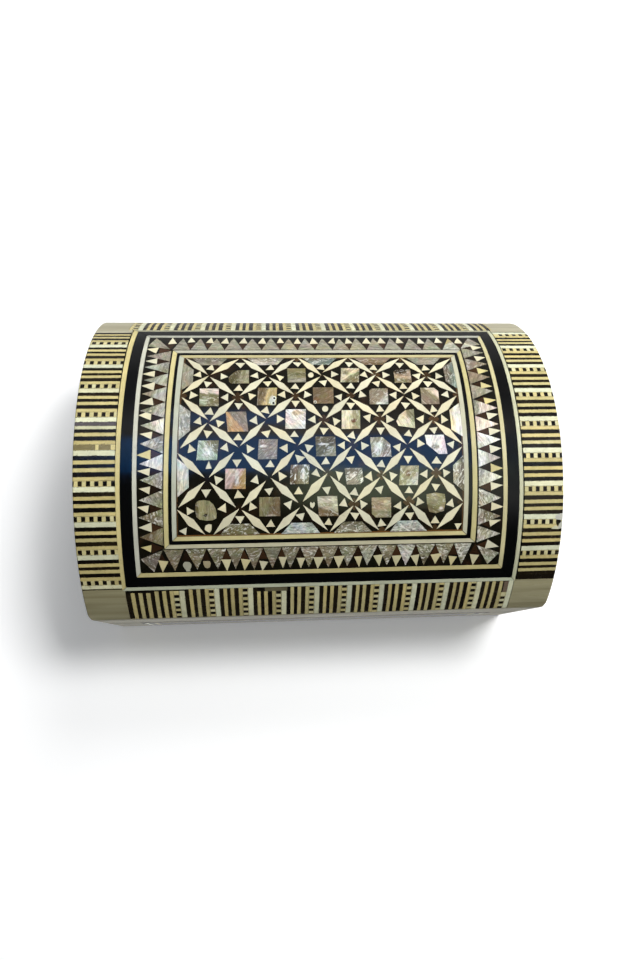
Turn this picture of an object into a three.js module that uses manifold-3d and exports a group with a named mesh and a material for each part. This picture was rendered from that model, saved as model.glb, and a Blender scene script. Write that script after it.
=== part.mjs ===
// Shell-inlaid box with a barrel lid: a hollow wooden body, a hollow domed lid that lifts off,
// and the larger inlays of the lid (marquetry bands, corner blocks, stringing frames, ground and
// mother-of-pearl tiles). Millimetres, +Z up, origin at the middle of the underside, front at -Y.
import * as THREE from "three";
import { mergeVertices } from "three/addons/utils/BufferGeometryUtils.js";
import Module from "manifold-3d";

// ---------------------------------------------------------------- driving dimensions
const LENGTH = 160; // along X
const WIDTH = 112; // along Y
const CORNER_R = 2; // rounding of the four upright corners, in plan
const SEAM_Z = 26; // height of the joint between body and lid
const SPRING_Z = 48; // where the upright walls end and the dome springs
const DOME_R = 67; // radius of the barrel dome, outside

const WALL = 6; // thickness of the upright walls
const FLOOR = 5; // thickness of the bottom board
const DOME_WALL = 6; // wood of the dome, under the inlay
const TONGUE_H = 2.5; // locating lip of the body, standing up into the lid
const TONGUE_IN = 3.2; // from the outside of the wall to the lip
const FIT = 0.3; // clearance between the lip and the lid
const SEAM_GAP = 0.15; // hairline of the joint

const VENEER = 1.2; // thickness of the inlay on the dome
const BED = 0.1; // glue line under the inlay
const JOINT = 0.15; // line between two neighbouring inlays
const ARC_STEP = THREE.MathUtils.degToRad(3.6); // facet of the dome

// Half sizes of the rectangles that the lid's pattern is set out on: [along X, along the arc]
const PANEL = [46.8, 32.3];
const FRAME_IN = [48.45, 33.85]; // outside of the first line round the panel
const FRAME_BLACK = [49.75, 35.05];
const FRAME_OUT = [51.3, 36.6];
const TOOTH_BORDER = [59.9, 45.35];
const LINE_IN = [61.35, 46.9];
const BLACK_BAND = [64.9, 50.9];
const LINE_OUT = [66.4, 52.4];

const TILE_T = 0.8; // thickness of a pearl tile
const TILE_PLAY = 0.15; // line of dark filler round a tile
const TILE_SIZE = 6.5; // side of a usual square
const EDGE_TILE = { long: 12.4, short: 6.4, height: 3.6, inset: 0.3 };

// Columns and rows of the star lattice on the panel: spacing grows a little towards the
// left and towards the front, as it was laid by eye.
const columnX = (j) => 0.3 + 9.33 * (j - 5) - 0.038 * (j - 5) ** 2;
const rowS = (k) => -0.25 + 9.23 * (k - 3.5) + 0.045 * (k - 3.5) ** 2;

// ---------------------------------------------------------------- derived sizes
const AXIS_Z = SPRING_Z - Math.sqrt(DOME_R ** 2 - (WIDTH / 2) ** 2); // height of the dome's axis
const ARC_HALF = DOME_R * Math.asin(WIDTH / 2 / DOME_R); // from ridge to springing, along the arc
const CORE_R = DOME_R - VENEER - BED; // outside of the lid's wood
const INNER_R = CORE_R - DOME_WALL; // inside of the dome

// ---------------------------------------------------------------- solids
const wasm = await Module();
wasm.setup();

function toSolid(geometry) {
  geometry.deleteAttribute("normal");
  geometry.deleteAttribute("uv");
  const g = mergeVertices(geometry, 1e-4);
  return new wasm.Manifold(
    new wasm.Mesh({
      numProp: 3,
      vertProperties: new Float32Array(g.attributes.position.array),
      triVerts: new Uint32Array(g.index.array),
    }),
  );
}

function toGeometry(solid) {
  const mesh = solid.getMesh();
  const g = new THREE.BufferGeometry();
  g.setAttribute("position", new THREE.BufferAttribute(new Float32Array(mesh.vertProperties), 3));
  g.setIndex(new THREE.BufferAttribute(new Uint32Array(mesh.triVerts), 1));
  g.computeVertexNormals();
  return g;
}

// Upright prism on a rounded rectangle, from z0 to z1
function block(length, width, radius, z0, z1) {
  const x = length / 2;
  const y = width / 2;
  const r = radius;
  const s = new THREE.Shape();
  s.moveTo(-x + r, -y);
  s.lineTo(x - r, -y);
  s.absarc(x - r, -y + r, r, -Math.PI / 2, 0, false);
  s.lineTo(x, y - r);
  s.absarc(x - r, y - r, r, 0, Math.PI / 2, false);
  s.lineTo(-x + r, y);
  s.absarc(-x + r, y - r, r, Math.PI / 2, Math.PI, false);
  s.lineTo(-x, -y + r);
  s.absarc(-x + r, -y + r, r, Math.PI, 1.5 * Math.PI, false);
  const g = new THREE.ExtrudeGeometry(s, { depth: z1 - z0, bevelEnabled: false, curveSegments: 3 });
  g.translate(0, 0, z0);
  return toSolid(g);
}

// The profile's plane (u, v) becomes (Y, Z) and its depth becomes X
const ALONG_X = (x0) => new THREE.Matrix4().set(0, 0, 1, x0, 1, 0, 0, 0, 0, 1, 0, AXIS_Z, 0, 0, 0, 1);

// Curved plate on the dome between two lines along X and two along the arc. s runs from the
// ridge, positive towards the front.
function plate(x0, x1, s0, s1, outer, inner) {
  const a0 = Math.PI / 2 + s0 / DOME_R;
  const a1 = Math.PI / 2 + s1 / DOME_R;
  const shape = new THREE.Shape();
  shape.absarc(0, 0, outer, a0, a1, false);
  shape.absarc(0, 0, inner, a1, a0, true);
  const steps = Math.max(1, Math.round((a1 - a0) / ARC_STEP / 2));
  const g = new THREE.ExtrudeGeometry(shape, { depth: x1 - x0, bevelEnabled: false, curveSegments: steps });
  g.applyMatrix4(ALONG_X(x0));
  return toSolid(g);
}

// Solid under a dome of radius r, between two upright planes and down to z0
function underDome(length, width, r, z0) {
  const half = Math.asin(width / 2 / r);
  const shape = new THREE.Shape();
  shape.moveTo(-width / 2, z0 - AXIS_Z);
  shape.lineTo(width / 2, z0 - AXIS_Z);
  shape.absarc(0, 0, r, Math.PI / 2 - half, Math.PI / 2 + half, false);
  shape.closePath();
  const steps = Math.round((2 * half) / ARC_STEP / 2);
  const g = new THREE.ExtrudeGeometry(shape, { depth: length, bevelEnabled: false, curveSegments: steps });
  g.applyMatrix4(ALONG_X(-length / 2));
  return toSolid(g);
}

// Rectangular ring on the dome, between two of the pattern's rectangles
function ring([xo, so], [xi, si]) {
  const j = JOINT / 2;
  const whole = plate(-xo + j, xo - j, -so + j, so - j, DOME_R, DOME_R - VENEER);
  const hole = plate(-xi - j, xi + j, -si - j, si + j, DOME_R + 1, DOME_R - VENEER - 1);
  return whole.subtract(hole);
}

// ---------------------------------------------------------------- wooden body and lid
function boxBody() {
  const outer = block(LENGTH, WIDTH, CORNER_R, 0, SEAM_Z);
  const lip = block(LENGTH - 2 * TONGUE_IN, WIDTH - 2 * TONGUE_IN, 2, SEAM_Z - 1, SEAM_Z + TONGUE_H);
  const inside = block(LENGTH - 2 * WALL, WIDTH - 2 * WALL, 1.5, FLOOR, SEAM_Z + TONGUE_H + 1);
  return outer.add(lip).subtract(inside);
}

function lidCore() {
  const z0 = SEAM_Z + SEAM_GAP;
  const plan = block(LENGTH, WIDTH, CORNER_R, z0, AXIS_Z + DOME_R + 1);
  const dome = underDome(LENGTH + 2, WIDTH + 2, CORE_R, z0 - 1);
  const inside = underDome(LENGTH - 2 * WALL, WIDTH - 2 * WALL, INNER_R, z0 - 1);
  const rebate = block(
    LENGTH - 2 * (TONGUE_IN - FIT),
    WIDTH - 2 * (TONGUE_IN - FIT),
    2,
    z0 - 1,
    SEAM_Z + TONGUE_H + FIT,
  );
  return plan.intersect(dome).subtract(inside).subtract(rebate);
}

// ---------------------------------------------------------------- inlays that reach the lid's edges
const wholePlan = () => block(LENGTH, WIDTH, CORNER_R, 0, AXIS_Z + DOME_R + 2);

function endBand(side) {
  const j = JOINT / 2;
  const a = LINE_OUT[0] + j;
  const b = LENGTH / 2;
  const s = LINE_OUT[1] - j;
  return side < 0
    ? plate(-b, -a, -s, s, DOME_R, DOME_R - VENEER)
    : plate(a, b, -s, s, DOME_R, DOME_R - VENEER);
}

function longBand(side) {
  const j = JOINT / 2;
  const a = LINE_OUT[1] + j;
  const b = ARC_HALF + 3;
  const x = LINE_OUT[0] - j;
  const p = side < 0 ? plate(-x, x, -b, -a, DOME_R, DOME_R - VENEER) : plate(-x, x, a, b, DOME_R, DOME_R - VENEER);
  return p.intersect(wholePlan());
}

function cornerBlock(sideX, sideS) {
  const j = JOINT / 2;
  const ax = LINE_OUT[0] + j;
  const as = LINE_OUT[1] + j;
  const b = ARC_HALF + 3;
  const xs = sideX < 0 ? [-LENGTH / 2 - 1, -ax] : [ax, LENGTH / 2 + 1];
  const ss = sideS < 0 ? [-b, -as] : [as, b];
  return plate(...xs, ...ss, DOME_R, DOME_R - VENEER).intersect(wholePlan());
}

// ---------------------------------------------------------------- pearl tiles of the panel
// A tile is a flat prism, touching the dome at its middle. Its outline is given as offsets
// along X and along the arc.
function tile(x, s, outline, grow, depth, raise) {
  const phi = s / DOME_R;
  const shape = new THREE.Shape(
    outline.map(([u, v]) => new THREE.Vector2(u + Math.sign(u) * grow, -(v + Math.sign(v) * grow))).reverse(),
  );
  const g = new THREE.ExtrudeGeometry(shape, { depth: depth + raise, bevelEnabled: false });
  g.translate(0, 0, -depth);
  const right = new THREE.Vector3(1, 0, 0);
  const back = new THREE.Vector3(0, Math.cos(phi), Math.sin(phi));
  const out = new THREE.Vector3(0, -Math.sin(phi), Math.cos(phi));
  const m = new THREE.Matrix4().makeBasis(right, back, out);
  m.setPosition(x, -DOME_R * Math.sin(phi), AXIS_Z + DOME_R * Math.cos(phi));
  g.applyMatrix4(m);
  return toSolid(g);
}

// Square with an optional cut corner (0 back left, 1 back right, 2 front right, 3 front left)
function squareOutline(w, h, lean, cut, cutSize) {
  const x = w / 2;
  const y = h / 2;
  const corners = [
    [-x - lean, -y],
    [x - lean, -y],
    [x + lean, y],
    [-x + lean, y],
  ];
  if (cut < 0) return corners;
  const c = corners[cut];
  const towards = (p) => {
    const d = Math.hypot(p[0] - c[0], p[1] - c[1]);
    return [c[0] + ((p[0] - c[0]) * cutSize) / d, c[1] + ((p[1] - c[1]) * cutSize) / d];
  };
  const out = [...corners];
  out.splice(cut, 1, towards(corners[(cut + 3) % 4]), towards(corners[(cut + 1) % 4]));
  return out;
}

// Each square: column, row, shift along X and arc, width and height over the usual size, lean of
// its sides, and a cut corner with its size
const SQUARES = [
  [2, 1, 0.2, 0.7, 0, -0.2, 0.1, 0, 2.6],
  [4, 1, 1.1, -0.2, 0.1, -0.2, 0, -1, 0],
  [6, 1, 0.5, 0.1, -0.2, 0, -0.3, -1, 0],
  [8, 1, 0.2, 0.5, -0.5, -0.3, 0, 0, 0.9],
  [1, 2, 0.1, 0.1, -0.1, 0.4, 0, -1, 0],
  [3, 2, 0.2, -0.3, 0, 0.4, -0.2, -1, 0],
  [5, 2, 0.3, -0.4, 0.6, -0.1, 0, -1, 0],
  [7, 2, 0.3, 0, -0.1, -0.2, -0.1, 0, 0.9],
  [9, 2, -0.4, 0.3, -0.2, 0.1, -0.2, 1, 1.4],
  [2, 3, -0.2, 0, 0.1, 0.6, 0.35, -1, 0],
  [4, 3, 0.2, -0.7, 0.1, 0.5, -0.2, -1, 0],
  [6, 3, -0.5, 0, -0.3, 0.4, -0.2, -1, 0],
  [8, 3, -0.6, -0.1, 0, 0.4, 0, 0, 3.1],
  [1, 4, 0, 0.6, 0, 0, -0.3, -1, 0],
  [3, 4, 0.1, 0.4, -0.4, 0.2, -0.1, -1, 0],
  [5, 4, 0.5, -0.2, 0.1, 0.2, 0, -1, 0],
  [7, 4, 0.2, 0, 0.1, 0.2, 0, 1, 2.3],
  [9, 4, 0.2, -0.2, 0.3, 0.3, 0.2, 3, 3.4],
  [2, 5, -0.9, 0.5, 0, 0, -0.1, -1, 0],
  [4, 5, 1.1, -0.6, -0.4, -0.1, 0, -1, 0],
  [6, 5, 0.1, 0.6, -0.1, -0.8, 0, 2, 1.2],
  [8, 5, -0.2, 0.5, -0.3, 0.1, -0.3, -1, 0],
  [1, 6, -1, 1.2, 0, 0.3, 0.1, 1, 1.5],
  [3, 6, 0.4, 0.3, 0.3, -0.2, 0, -1, 0],
  [5, 6, 0.7, 0.6, 0.2, 0.3, 0.1, -1, 0],
  [7, 6, -0.4, 1, 0, 0.2, 0.2, 3, 1.3],
  [9, 6, -0.4, 0.4, 0, 0, 0.3, 3, 2.6],
];

// A tile along the panel's frame: a trapezoid with its long side to the frame
function edgeOutline(side) {
  const { long, short, height } = EDGE_TILE;
  const a = long / 2;
  const b = short / 2;
  const h = height / 2;
  if (side === "back") return [[-a, -h], [a, -h], [b, h], [-b, h]];
  if (side === "front") return [[-b, -h], [b, -h], [a, h], [-a, h]];
  if (side === "left") return [[-h, -a], [h, -b], [h, b], [-h, a]];
  return [[-h, -b], [h, -a], [h, a], [-h, b]];
}

const tiles = [];
const inRow = {};
for (const [j, k, dx, ds, dw, dh, lean, cut, cutSize] of SQUARES) {
  inRow[k] = (inRow[k] ?? 0) + 1;
  tiles.push({
    name: `pearl_square_row${k}_${inRow[k]}`,
    x: columnX(j) + dx,
    s: rowS(k) + ds,
    outline: squareOutline(TILE_SIZE + dw, TILE_SIZE + dh, lean, cut, cutSize),
  });
}
const edgeMid = EDGE_TILE.height / 2 + EDGE_TILE.inset;
[1, 3, 5, 7, 9].forEach((j, n) =>
  tiles.push({ name: `pearl_edge_back_${n + 1}`, x: columnX(j), s: -PANEL[1] + edgeMid, outline: edgeOutline("back") }),
);
[2, 4, 6, 8].forEach((j, n) =>
  tiles.push({ name: `pearl_edge_front_${n + 1}`, x: columnX(j), s: PANEL[1] - edgeMid, outline: edgeOutline("front") }),
);
[1, 3, 5].forEach((k, n) => {
  tiles.push({ name: `pearl_edge_left_${n + 1}`, x: -PANEL[0] + edgeMid, s: rowS(k), outline: edgeOutline("left") });
  tiles.push({ name: `pearl_edge_right_${n + 1}`, x: PANEL[0] - edgeMid, s: rowS(k), outline: edgeOutline("right") });
});

function panelGround() {
  const j = JOINT / 2;
  let ground = plate(-PANEL[0] + j, PANEL[0] - j, -PANEL[1] + j, PANEL[1] - j, DOME_R, DOME_R - VENEER);
  for (const t of tiles) ground = ground.subtract(tile(t.x, t.s, t.outline, TILE_PLAY, TILE_T + 0.1, 0.6));
  return ground;
}

// ---------------------------------------------------------------- the object
const part = new THREE.Group();
function piece(name, solid, color, roughness) {
  const mesh = new THREE.Mesh(
    toGeometry(solid),
    new THREE.MeshStandardMaterial({ color, roughness, metalness: 0 }),
  );
  mesh.name = name;
  part.add(mesh);
}

piece("box_body", boxBody(), 0x3a2416, 0.4);
piece("lid", lidCore(), 0x3a2416, 0.4);

piece("band_left", endBand(-1), 0xcdb878, 0.25);
piece("band_right", endBand(1), 0xcdb878, 0.25);
piece("band_back", longBand(-1), 0xcdb878, 0.25);
piece("band_front", longBand(1), 0xcdb878, 0.25);

piece("corner_block_back_left", cornerBlock(-1, -1), 0x9a957c, 0.4);
piece("corner_block_back_right", cornerBlock(1, -1), 0x9a957c, 0.4);
piece("corner_block_front_left", cornerBlock(-1, 1), 0x9a957c, 0.4);
piece("corner_block_front_right", cornerBlock(1, 1), 0x9a957c, 0.4);

piece("outer_bone_line", ring(LINE_OUT, BLACK_BAND), 0xe1d7b4, 0.25);
piece("black_band", ring(BLACK_BAND, LINE_IN), 0x0c0c0e, 0.2);
piece("inner_bone_line", ring(LINE_IN, TOOTH_BORDER), 0xe1d7b4, 0.25);
piece("tooth_border_ground", ring(TOOTH_BORDER, FRAME_OUT), 0x1c1210, 0.2);
piece("panel_frame_outer_line", ring(FRAME_OUT, FRAME_BLACK), 0xd8c98c, 0.25);
piece("panel_frame_black_line", ring(FRAME_BLACK, FRAME_IN), 0x0c0c0e, 0.2);
piece("panel_frame_inner_line", ring(FRAME_IN, PANEL), 0xd8c98c, 0.25);
piece("panel_ground", panelGround(), 0x14100f, 0.2);

for (const t of tiles) piece(t.name, tile(t.x, t.s, t.outline, 0, TILE_T, 0), 0xa09a90, 0.2);

export default part;
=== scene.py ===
import math
import random

import bmesh
import bpy
from mathutils import Matrix, Vector


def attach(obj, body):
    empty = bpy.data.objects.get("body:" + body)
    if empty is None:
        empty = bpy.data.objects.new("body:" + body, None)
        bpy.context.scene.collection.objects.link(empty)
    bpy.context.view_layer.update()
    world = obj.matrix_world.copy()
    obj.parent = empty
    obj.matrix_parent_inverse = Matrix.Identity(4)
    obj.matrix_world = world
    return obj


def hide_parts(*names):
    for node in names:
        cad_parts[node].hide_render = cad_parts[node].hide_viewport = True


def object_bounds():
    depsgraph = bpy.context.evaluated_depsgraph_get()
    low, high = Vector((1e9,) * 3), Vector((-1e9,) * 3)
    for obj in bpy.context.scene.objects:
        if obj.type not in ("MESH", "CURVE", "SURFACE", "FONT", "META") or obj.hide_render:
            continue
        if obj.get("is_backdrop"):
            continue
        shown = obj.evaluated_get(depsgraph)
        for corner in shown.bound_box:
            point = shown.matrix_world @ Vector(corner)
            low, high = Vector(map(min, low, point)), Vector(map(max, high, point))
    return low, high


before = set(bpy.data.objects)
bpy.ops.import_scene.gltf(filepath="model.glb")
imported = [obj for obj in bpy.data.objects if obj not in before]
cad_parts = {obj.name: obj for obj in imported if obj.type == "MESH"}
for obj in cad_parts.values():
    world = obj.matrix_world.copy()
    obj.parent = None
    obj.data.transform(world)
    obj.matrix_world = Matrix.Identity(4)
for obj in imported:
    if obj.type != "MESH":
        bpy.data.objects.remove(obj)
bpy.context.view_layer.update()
rng = random.Random(20)
MM = 0.001

# ------------------------------------------------------------------ sizes, in millimetres
HALF_L, HALF_W = 80.0, 56.0
SEAM, SPRING = 26.0, 48.0
R = 67.0  # outside of the barrel dome
CORNER = 2.0  # upright corners, in plan
VENEER = 1.2
WALL, FLOOR = 6.0, 5.0
TONGUE, TONGUE_H = 3.2, 2.5
AXIS_Z = SPRING - math.sqrt(R * R - HALF_W * HALF_W)
RIDGE = AXIS_Z + R
CORE_R = R - VENEER - 0.1
INNER_R = CORE_R - 6.0

# rounding between the dome and the upright front and back
RF = 2.5
YC = HALF_W - RF
ZC = math.sqrt((R - RF) ** 2 - YC * YC)
PHI_T = math.asin(YC / (R - RF))
S_T = R * PHI_T
FIL = RF * (math.pi / 2 - PHI_T)
S_WALL = S_T + FIL  # here the upright wall begins
WALL_TOP = AXIS_Z + ZC
RB = 0.55  # rounding of the lid's end edges
BAND_END = S_WALL + WALL_TOP - SEAM - 0.5  # the sticks run down the lid's rim to the seam


def round_plan(x, y):
    """Rounds the four upright corners of the plan."""
    u, v = abs(x) - (HALF_L - CORNER), abs(y) - (HALF_W - CORNER)
    if u <= 0 or v <= 0:
        return x, y
    k = max(u, v) / math.hypot(u, v)
    return (
        math.copysign(HALF_L - CORNER + u * k, x),
        math.copysign(HALF_W - CORNER + v * k, y),
    )


def crown(y, h):
    """Height of the lid's outside at y, moved out by h."""
    y = abs(y)
    if y <= (R + h) * math.sin(PHI_T):
        return AXIS_Z + math.sqrt((R + h) ** 2 - y * y)
    t = min((y - YC) / (RF + h), 1.0)
    return AXIS_Z + ZC + (RF + h) * math.sqrt(max(1 - t * t, 0.0))


def dome(x, s, h):
    """A point on the lid's outside: x along the box, s along the arc from the ridge (towards
    the front, then down the upright wall), h outwards."""
    d = HALF_L - abs(x)
    if d < RB:
        d = max(d, 0.0)
        h -= RB - math.sqrt(max(RB * RB - (RB - d) ** 2, 0.0))
    a = abs(s)
    if a <= S_T:
        p = a / R
        y, z = (R + h) * math.sin(p), AXIS_Z + (R + h) * math.cos(p)
    elif a <= S_WALL:
        p = PHI_T + (a - S_T) / RF
        y, z = YC + (RF + h) * math.sin(p), AXIS_Z + ZC + (RF + h) * math.cos(p)
    else:
        y, z = HALF_W + h, WALL_TOP - (a - S_WALL)
    px, py = round_plan(x, -math.copysign(y, s))
    if a <= S_WALL and abs(abs(py) - y) > 1e-9:
        z = crown(py, h)
    return Vector((px, py, z))


def long_wall(side):
    """The upright front (-1) or back (1) face: x along it, z up, h outwards."""

    def place(x, z, h):
        px, py = round_plan(x, side * HALF_W)
        return Vector((px, py + side * h, z))

    return place


def end_wall(side):
    """The upright left (-1) or right (1) face: y along it, z up, h outwards."""

    def place(y, z, h):
        px, py = round_plan(side * HALF_L, y)
        return Vector((px + side * h, py, z))

    return place


# ------------------------------------------------------------------ inlay meshes
DOME_CUTS = [i * 2.5 for i in range(-26, 27)]
for q in range(0, 7):
    DOME_CUTS += [S_T + FIL * q / 6, -S_T - FIL * q / 6]
END_CUTS = [s * (HALF_L - RB * k) for s in (-1, 1) for k in (1, 0.6, 0.3, 0.1)]


def clip(poly, axis, value, below):
    out = []
    n = len(poly)
    for i in range(n):
        a, b = poly[i], poly[(i + 1) % n]
        da, db = a[axis] - value, b[axis] - value
        if not below:
            da, db = -da, -db
        if da <= 1e-7:
            out.append(a)
        if (da < -1e-7 and db > 1e-7) or (da > 1e-7 and db < -1e-7):
            t = da / (da - db)
            q = [a[0] + (b[0] - a[0]) * t, a[1] + (b[1] - a[1]) * t]
            q[axis] = value
            out.append(tuple(q))
    return out


def area(poly):
    return 0.5 * sum(
        poly[i][0] * poly[(i + 1) % len(poly)][1] - poly[(i + 1) % len(poly)][0] * poly[i][1]
        for i in range(len(poly))
    )


def slices(poly, axis, cuts):
    lo, hi = min(p[axis] for p in poly), max(p[axis] for p in poly)
    inside = sorted(c for c in set(cuts) if lo + 1e-4 < c < hi - 1e-4)
    parts, rest = [], poly
    for c in inside:
        parts.append(clip(rest, axis, c, True))
        rest = clip(rest, axis, c, False)
    parts.append(rest)
    return [p for p in parts if len(p) > 2 and abs(area(p)) > 1e-6]


class Inlay:
    """Flat-cut pieces laid on a curved face, gathered in one mesh. Each piece is a closed
    solid with its own tint."""

    def __init__(self, name, place=dome, cuts=(END_CUTS, DOME_CUTS)):
        self.name, self.place, self.cuts = name, place, cuts
        self.verts, self.faces, self.normals = [], [], []
        self.tint, self.tint_b, self.tint_c, self.local, self.spot = [], [], [], [], []

    def normal(self, u, v, h):
        e, f = 0.02, self.place
        du = f(u + e, v, h) - f(u - e, v, h)
        dv = f(u, v + e, h) - f(u, v - e, h)
        n = du.cross(dv)
        out = f(u, v, h + 1) - f(u, v, h)
        if n.length < 1e-12:
            return out.normalized()
        n.normalize()
        return -n if n.dot(out) < 0 else n

    def add(self, poly, top, bottom, tint, tint_b=None, split=None, spot=None, tilt=0.0, extra=None, glint=0.0, centre=None):
        """split is (grain direction, shift, softness): the second tint lies beyond the shift,
        across the grain. spot is (u, v, half width, half height, strength, tint) of a place
        on the piece, in millimetres from its middle. glint is how many painted glints (bright
        flecks that stand in for reflections) it has."""
        poly = [tuple(p) for p in poly]
        if area(poly) < 0:
            poly.reverse()
        cu, cv = centre or (sum(p[0] for p in poly) / len(poly), sum(p[1] for p in poly) / len(poly))
        cuts = extra or self.cuts
        cells = [c for band in slices(poly, 1, cuts[1]) for c in slices(band, 0, cuts[0])]
        ids, pts = {}, []

        def key(p):
            k = (round(p[0], 4), round(p[1], 4))
            if k not in ids:
                ids[k] = len(pts)
                pts.append(p)
            return ids[k]

        rings = []
        for c in cells:
            ring = []
            for p in c:
                i = key(p)
                if not ring or (ring[-1] != i and ring[0] != i):
                    ring.append(i)
            if len(ring) > 2:
                rings.append(ring)
        if not rings:
            return
        base, n = len(self.verts), len(pts)
        hi = [self.place(p[0], p[1], top) for p in pts]
        lo = [self.place(p[0], p[1], bottom) for p in pts]
        self.verts += hi + lo
        # seen from outside, the top face runs anticlockwise
        a, b, c = (hi[i] for i in rings[0][:3])
        mid = [sum(pts[i][k] for i in rings[0]) / len(rings[0]) for k in (0, 1)]
        flip = (b - a).cross(c - a).dot(self.place(*mid, top + 1) - self.place(*mid, top)) < 0
        tu, tv = (rng.uniform(-tilt, tilt), rng.uniform(-tilt, tilt)) if tilt else (0.0, 0.0)
        eu = self.place(cu + 0.05, cv, top) - self.place(cu - 0.05, cv, top)
        ev = self.place(cu, cv + 0.05, top) - self.place(cu, cv - 0.05, top)
        lean = (eu.normalized() * tu + ev.normalized() * tv) if tilt else Vector((0, 0, 0))
        vn = [(self.normal(p[0], p[1], top) + lean).normalized() for p in pts]
        edge = set()
        for ring in rings:
            r = ring[::-1] if flip else ring
            for i in range(len(r)):
                edge.add((r[i], r[(i + 1) % len(r)]))
        t2 = tint_b or tint
        ang, shift, soft = split or (0.0, 1e3, 1.0)
        ca, sa = math.cos(ang), math.sin(ang)
        su, sv, ru, rv, sk, st = spot or (0.0, 0.0, 1.0, 1.0, 0.0, tint)
        # each piece is cut from another part of its sheet
        ox, oy = rng.uniform(-40, 40), rng.uniform(-40, 40)

        def corner(i, nrm):
            du, dv = pts[i][0] - cu, pts[i][1] - cv
            across = -du * sa + dv * ca
            self.normals.append(nrm)
            self.tint.append((*tint, glint))
            self.tint_b.append((*t2, 1.0))
            self.tint_c.append((*st, 1.0))
            self.local.append((du * ca + dv * sa + ox, across + oy, (across - shift) / soft))
            self.spot.append(((du - su) / ru, (dv - sv) / rv, sk))

        for ring in rings:
            r = ring[::-1] if flip else ring
            self.faces.append([base + i for i in r])
            for i in r:
                corner(i, vn[i])
            self.faces.append([base + n + i for i in reversed(r)])
            for i in reversed(r):
                corner(i, -vn[i])
        for i, j in edge:
            if (j, i) in edge:
                continue
            self.faces.append([base + j, base + i, base + n + i, base + n + j])
            q = (hi[i] - hi[j]).cross(lo[i] - hi[i])
            w = q.normalized() if q.length > 1e-12 else vn[i]
            for k in (j, i, i, j):
                corner(k, w)

    def build(self, mat, slot, replaces=()):
        me = bpy.data.meshes.new(self.name)
        me.from_pydata([tuple(v * MM) for v in self.verts], [], self.faces)
        for name, kind, values in (
            ("tint", "FLOAT_COLOR", self.tint),
            ("tint_b", "FLOAT_COLOR", self.tint_b),
            ("tint_c", "FLOAT_COLOR", self.tint_c),
            ("local", "FLOAT_VECTOR", self.local),
            ("spot", "FLOAT_VECTOR", self.spot),
        ):
            a = me.attributes.new(name, kind, "CORNER")
            flat = [x for v in values for x in v]
            a.data.foreach_set("color" if kind == "FLOAT_COLOR" else "vector", flat)
        me.polygons.foreach_set("use_smooth", [True] * len(me.polygons))
        me.normals_split_custom_set([tuple(n) for n in self.normals])
        me.update()
        me.materials.append(mat)
        o = bpy.data.objects.new(self.name, me)
        bpy.context.scene.collection.objects.link(o)
        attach(o, "root")
        if replaces:
            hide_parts(*replaces)
        return o


# ------------------------------------------------------------------ materials
def tree(name):
    m = bpy.data.materials.new(name)
    m.use_nodes = True
    nt = m.node_tree
    nt.nodes.clear()
    out = nt.nodes.new("ShaderNodeOutputMaterial")
    b = nt.nodes.new("ShaderNodeBsdfPrincipled")
    nt.links.new(b.outputs[0], out.inputs[0])
    return m, nt, b


def link(nt, value, socket):
    if isinstance(value, bpy.types.NodeSocket):
        nt.links.new(value, socket)
    else:
        socket.default_value = value


def coords(nt, scale=(1, 1, 1)):
    t = nt.nodes.new("ShaderNodeTexCoord")
    mp = nt.nodes.new("ShaderNodeMapping")
    mp.inputs["Scale"].default_value = scale
    nt.links.new(t.outputs["Object"], mp.inputs["Vector"])
    return mp.outputs[0]


def attr(nt, name, out="Vector"):
    a = nt.nodes.new("ShaderNodeAttribute")
    a.attribute_name = name
    return a.outputs[out]


def noise(nt, vec, scale, detail=3.0, rough=0.55, distort=0.0, out="Fac"):
    n = nt.nodes.new("ShaderNodeTexNoise")
    n.inputs["Scale"].default_value = scale
    n.inputs["Detail"].default_value = detail
    n.inputs["Roughness"].default_value = rough
    n.inputs["Distortion"].default_value = distort
    nt.links.new(vec, n.inputs["Vector"])
    return n.outputs[out]


def span(nt, value, a, b, lo=0.0, hi=1.0, smooth=True):
    n = nt.nodes.new("ShaderNodeMapRange")
    n.interpolation_type = "SMOOTHSTEP" if smooth else "LINEAR"
    link(nt, value, n.inputs["Value"])
    n.inputs["From Min"].default_value = a
    n.inputs["From Max"].default_value = b
    n.inputs["To Min"].default_value = lo
    n.inputs["To Max"].default_value = hi
    return n.outputs[0]


def maths(nt, op, a, b=0.0):
    n = nt.nodes.new("ShaderNodeMath")
    n.operation = op
    link(nt, a, n.inputs[0])
    link(nt, b, n.inputs[1])
    return n.outputs[0]


def mix(nt, fac, a, b, kind="MIX"):
    n = nt.nodes.new("ShaderNodeMix")
    n.data_type = "RGBA"
    n.blend_type = kind
    link(nt, fac, n.inputs[0])
    for v, s in ((a, n.inputs[6]), (b, n.inputs[7])):
        link(nt, v if isinstance(v, bpy.types.NodeSocket) else (*v, 1.0), s)
    return n.outputs[2]


def grey(nt, value):
    c = nt.nodes.new("ShaderNodeCombineColor")
    for i in range(3):
        nt.links.new(value, c.inputs[i])
    return c.outputs[0]


def parts(nt, vec):
    n = nt.nodes.new("ShaderNodeSeparateXYZ")
    nt.links.new(vec, n.inputs[0])
    return n.outputs


def bump(nt, b, height, strength, distance):
    n = nt.nodes.new("ShaderNodeBump")
    n.inputs["Strength"].default_value = strength
    n.inputs["Distance"].default_value = distance
    nt.links.new(height, n.inputs["Height"])
    nt.links.new(n.outputs[0], b.inputs["Normal"])


def scaled(nt, vec, scale):
    mp = nt.nodes.new("ShaderNodeMapping")
    mp.inputs["Scale"].default_value = scale
    nt.links.new(vec, mp.inputs["Vector"])
    return mp.outputs[0]


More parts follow.
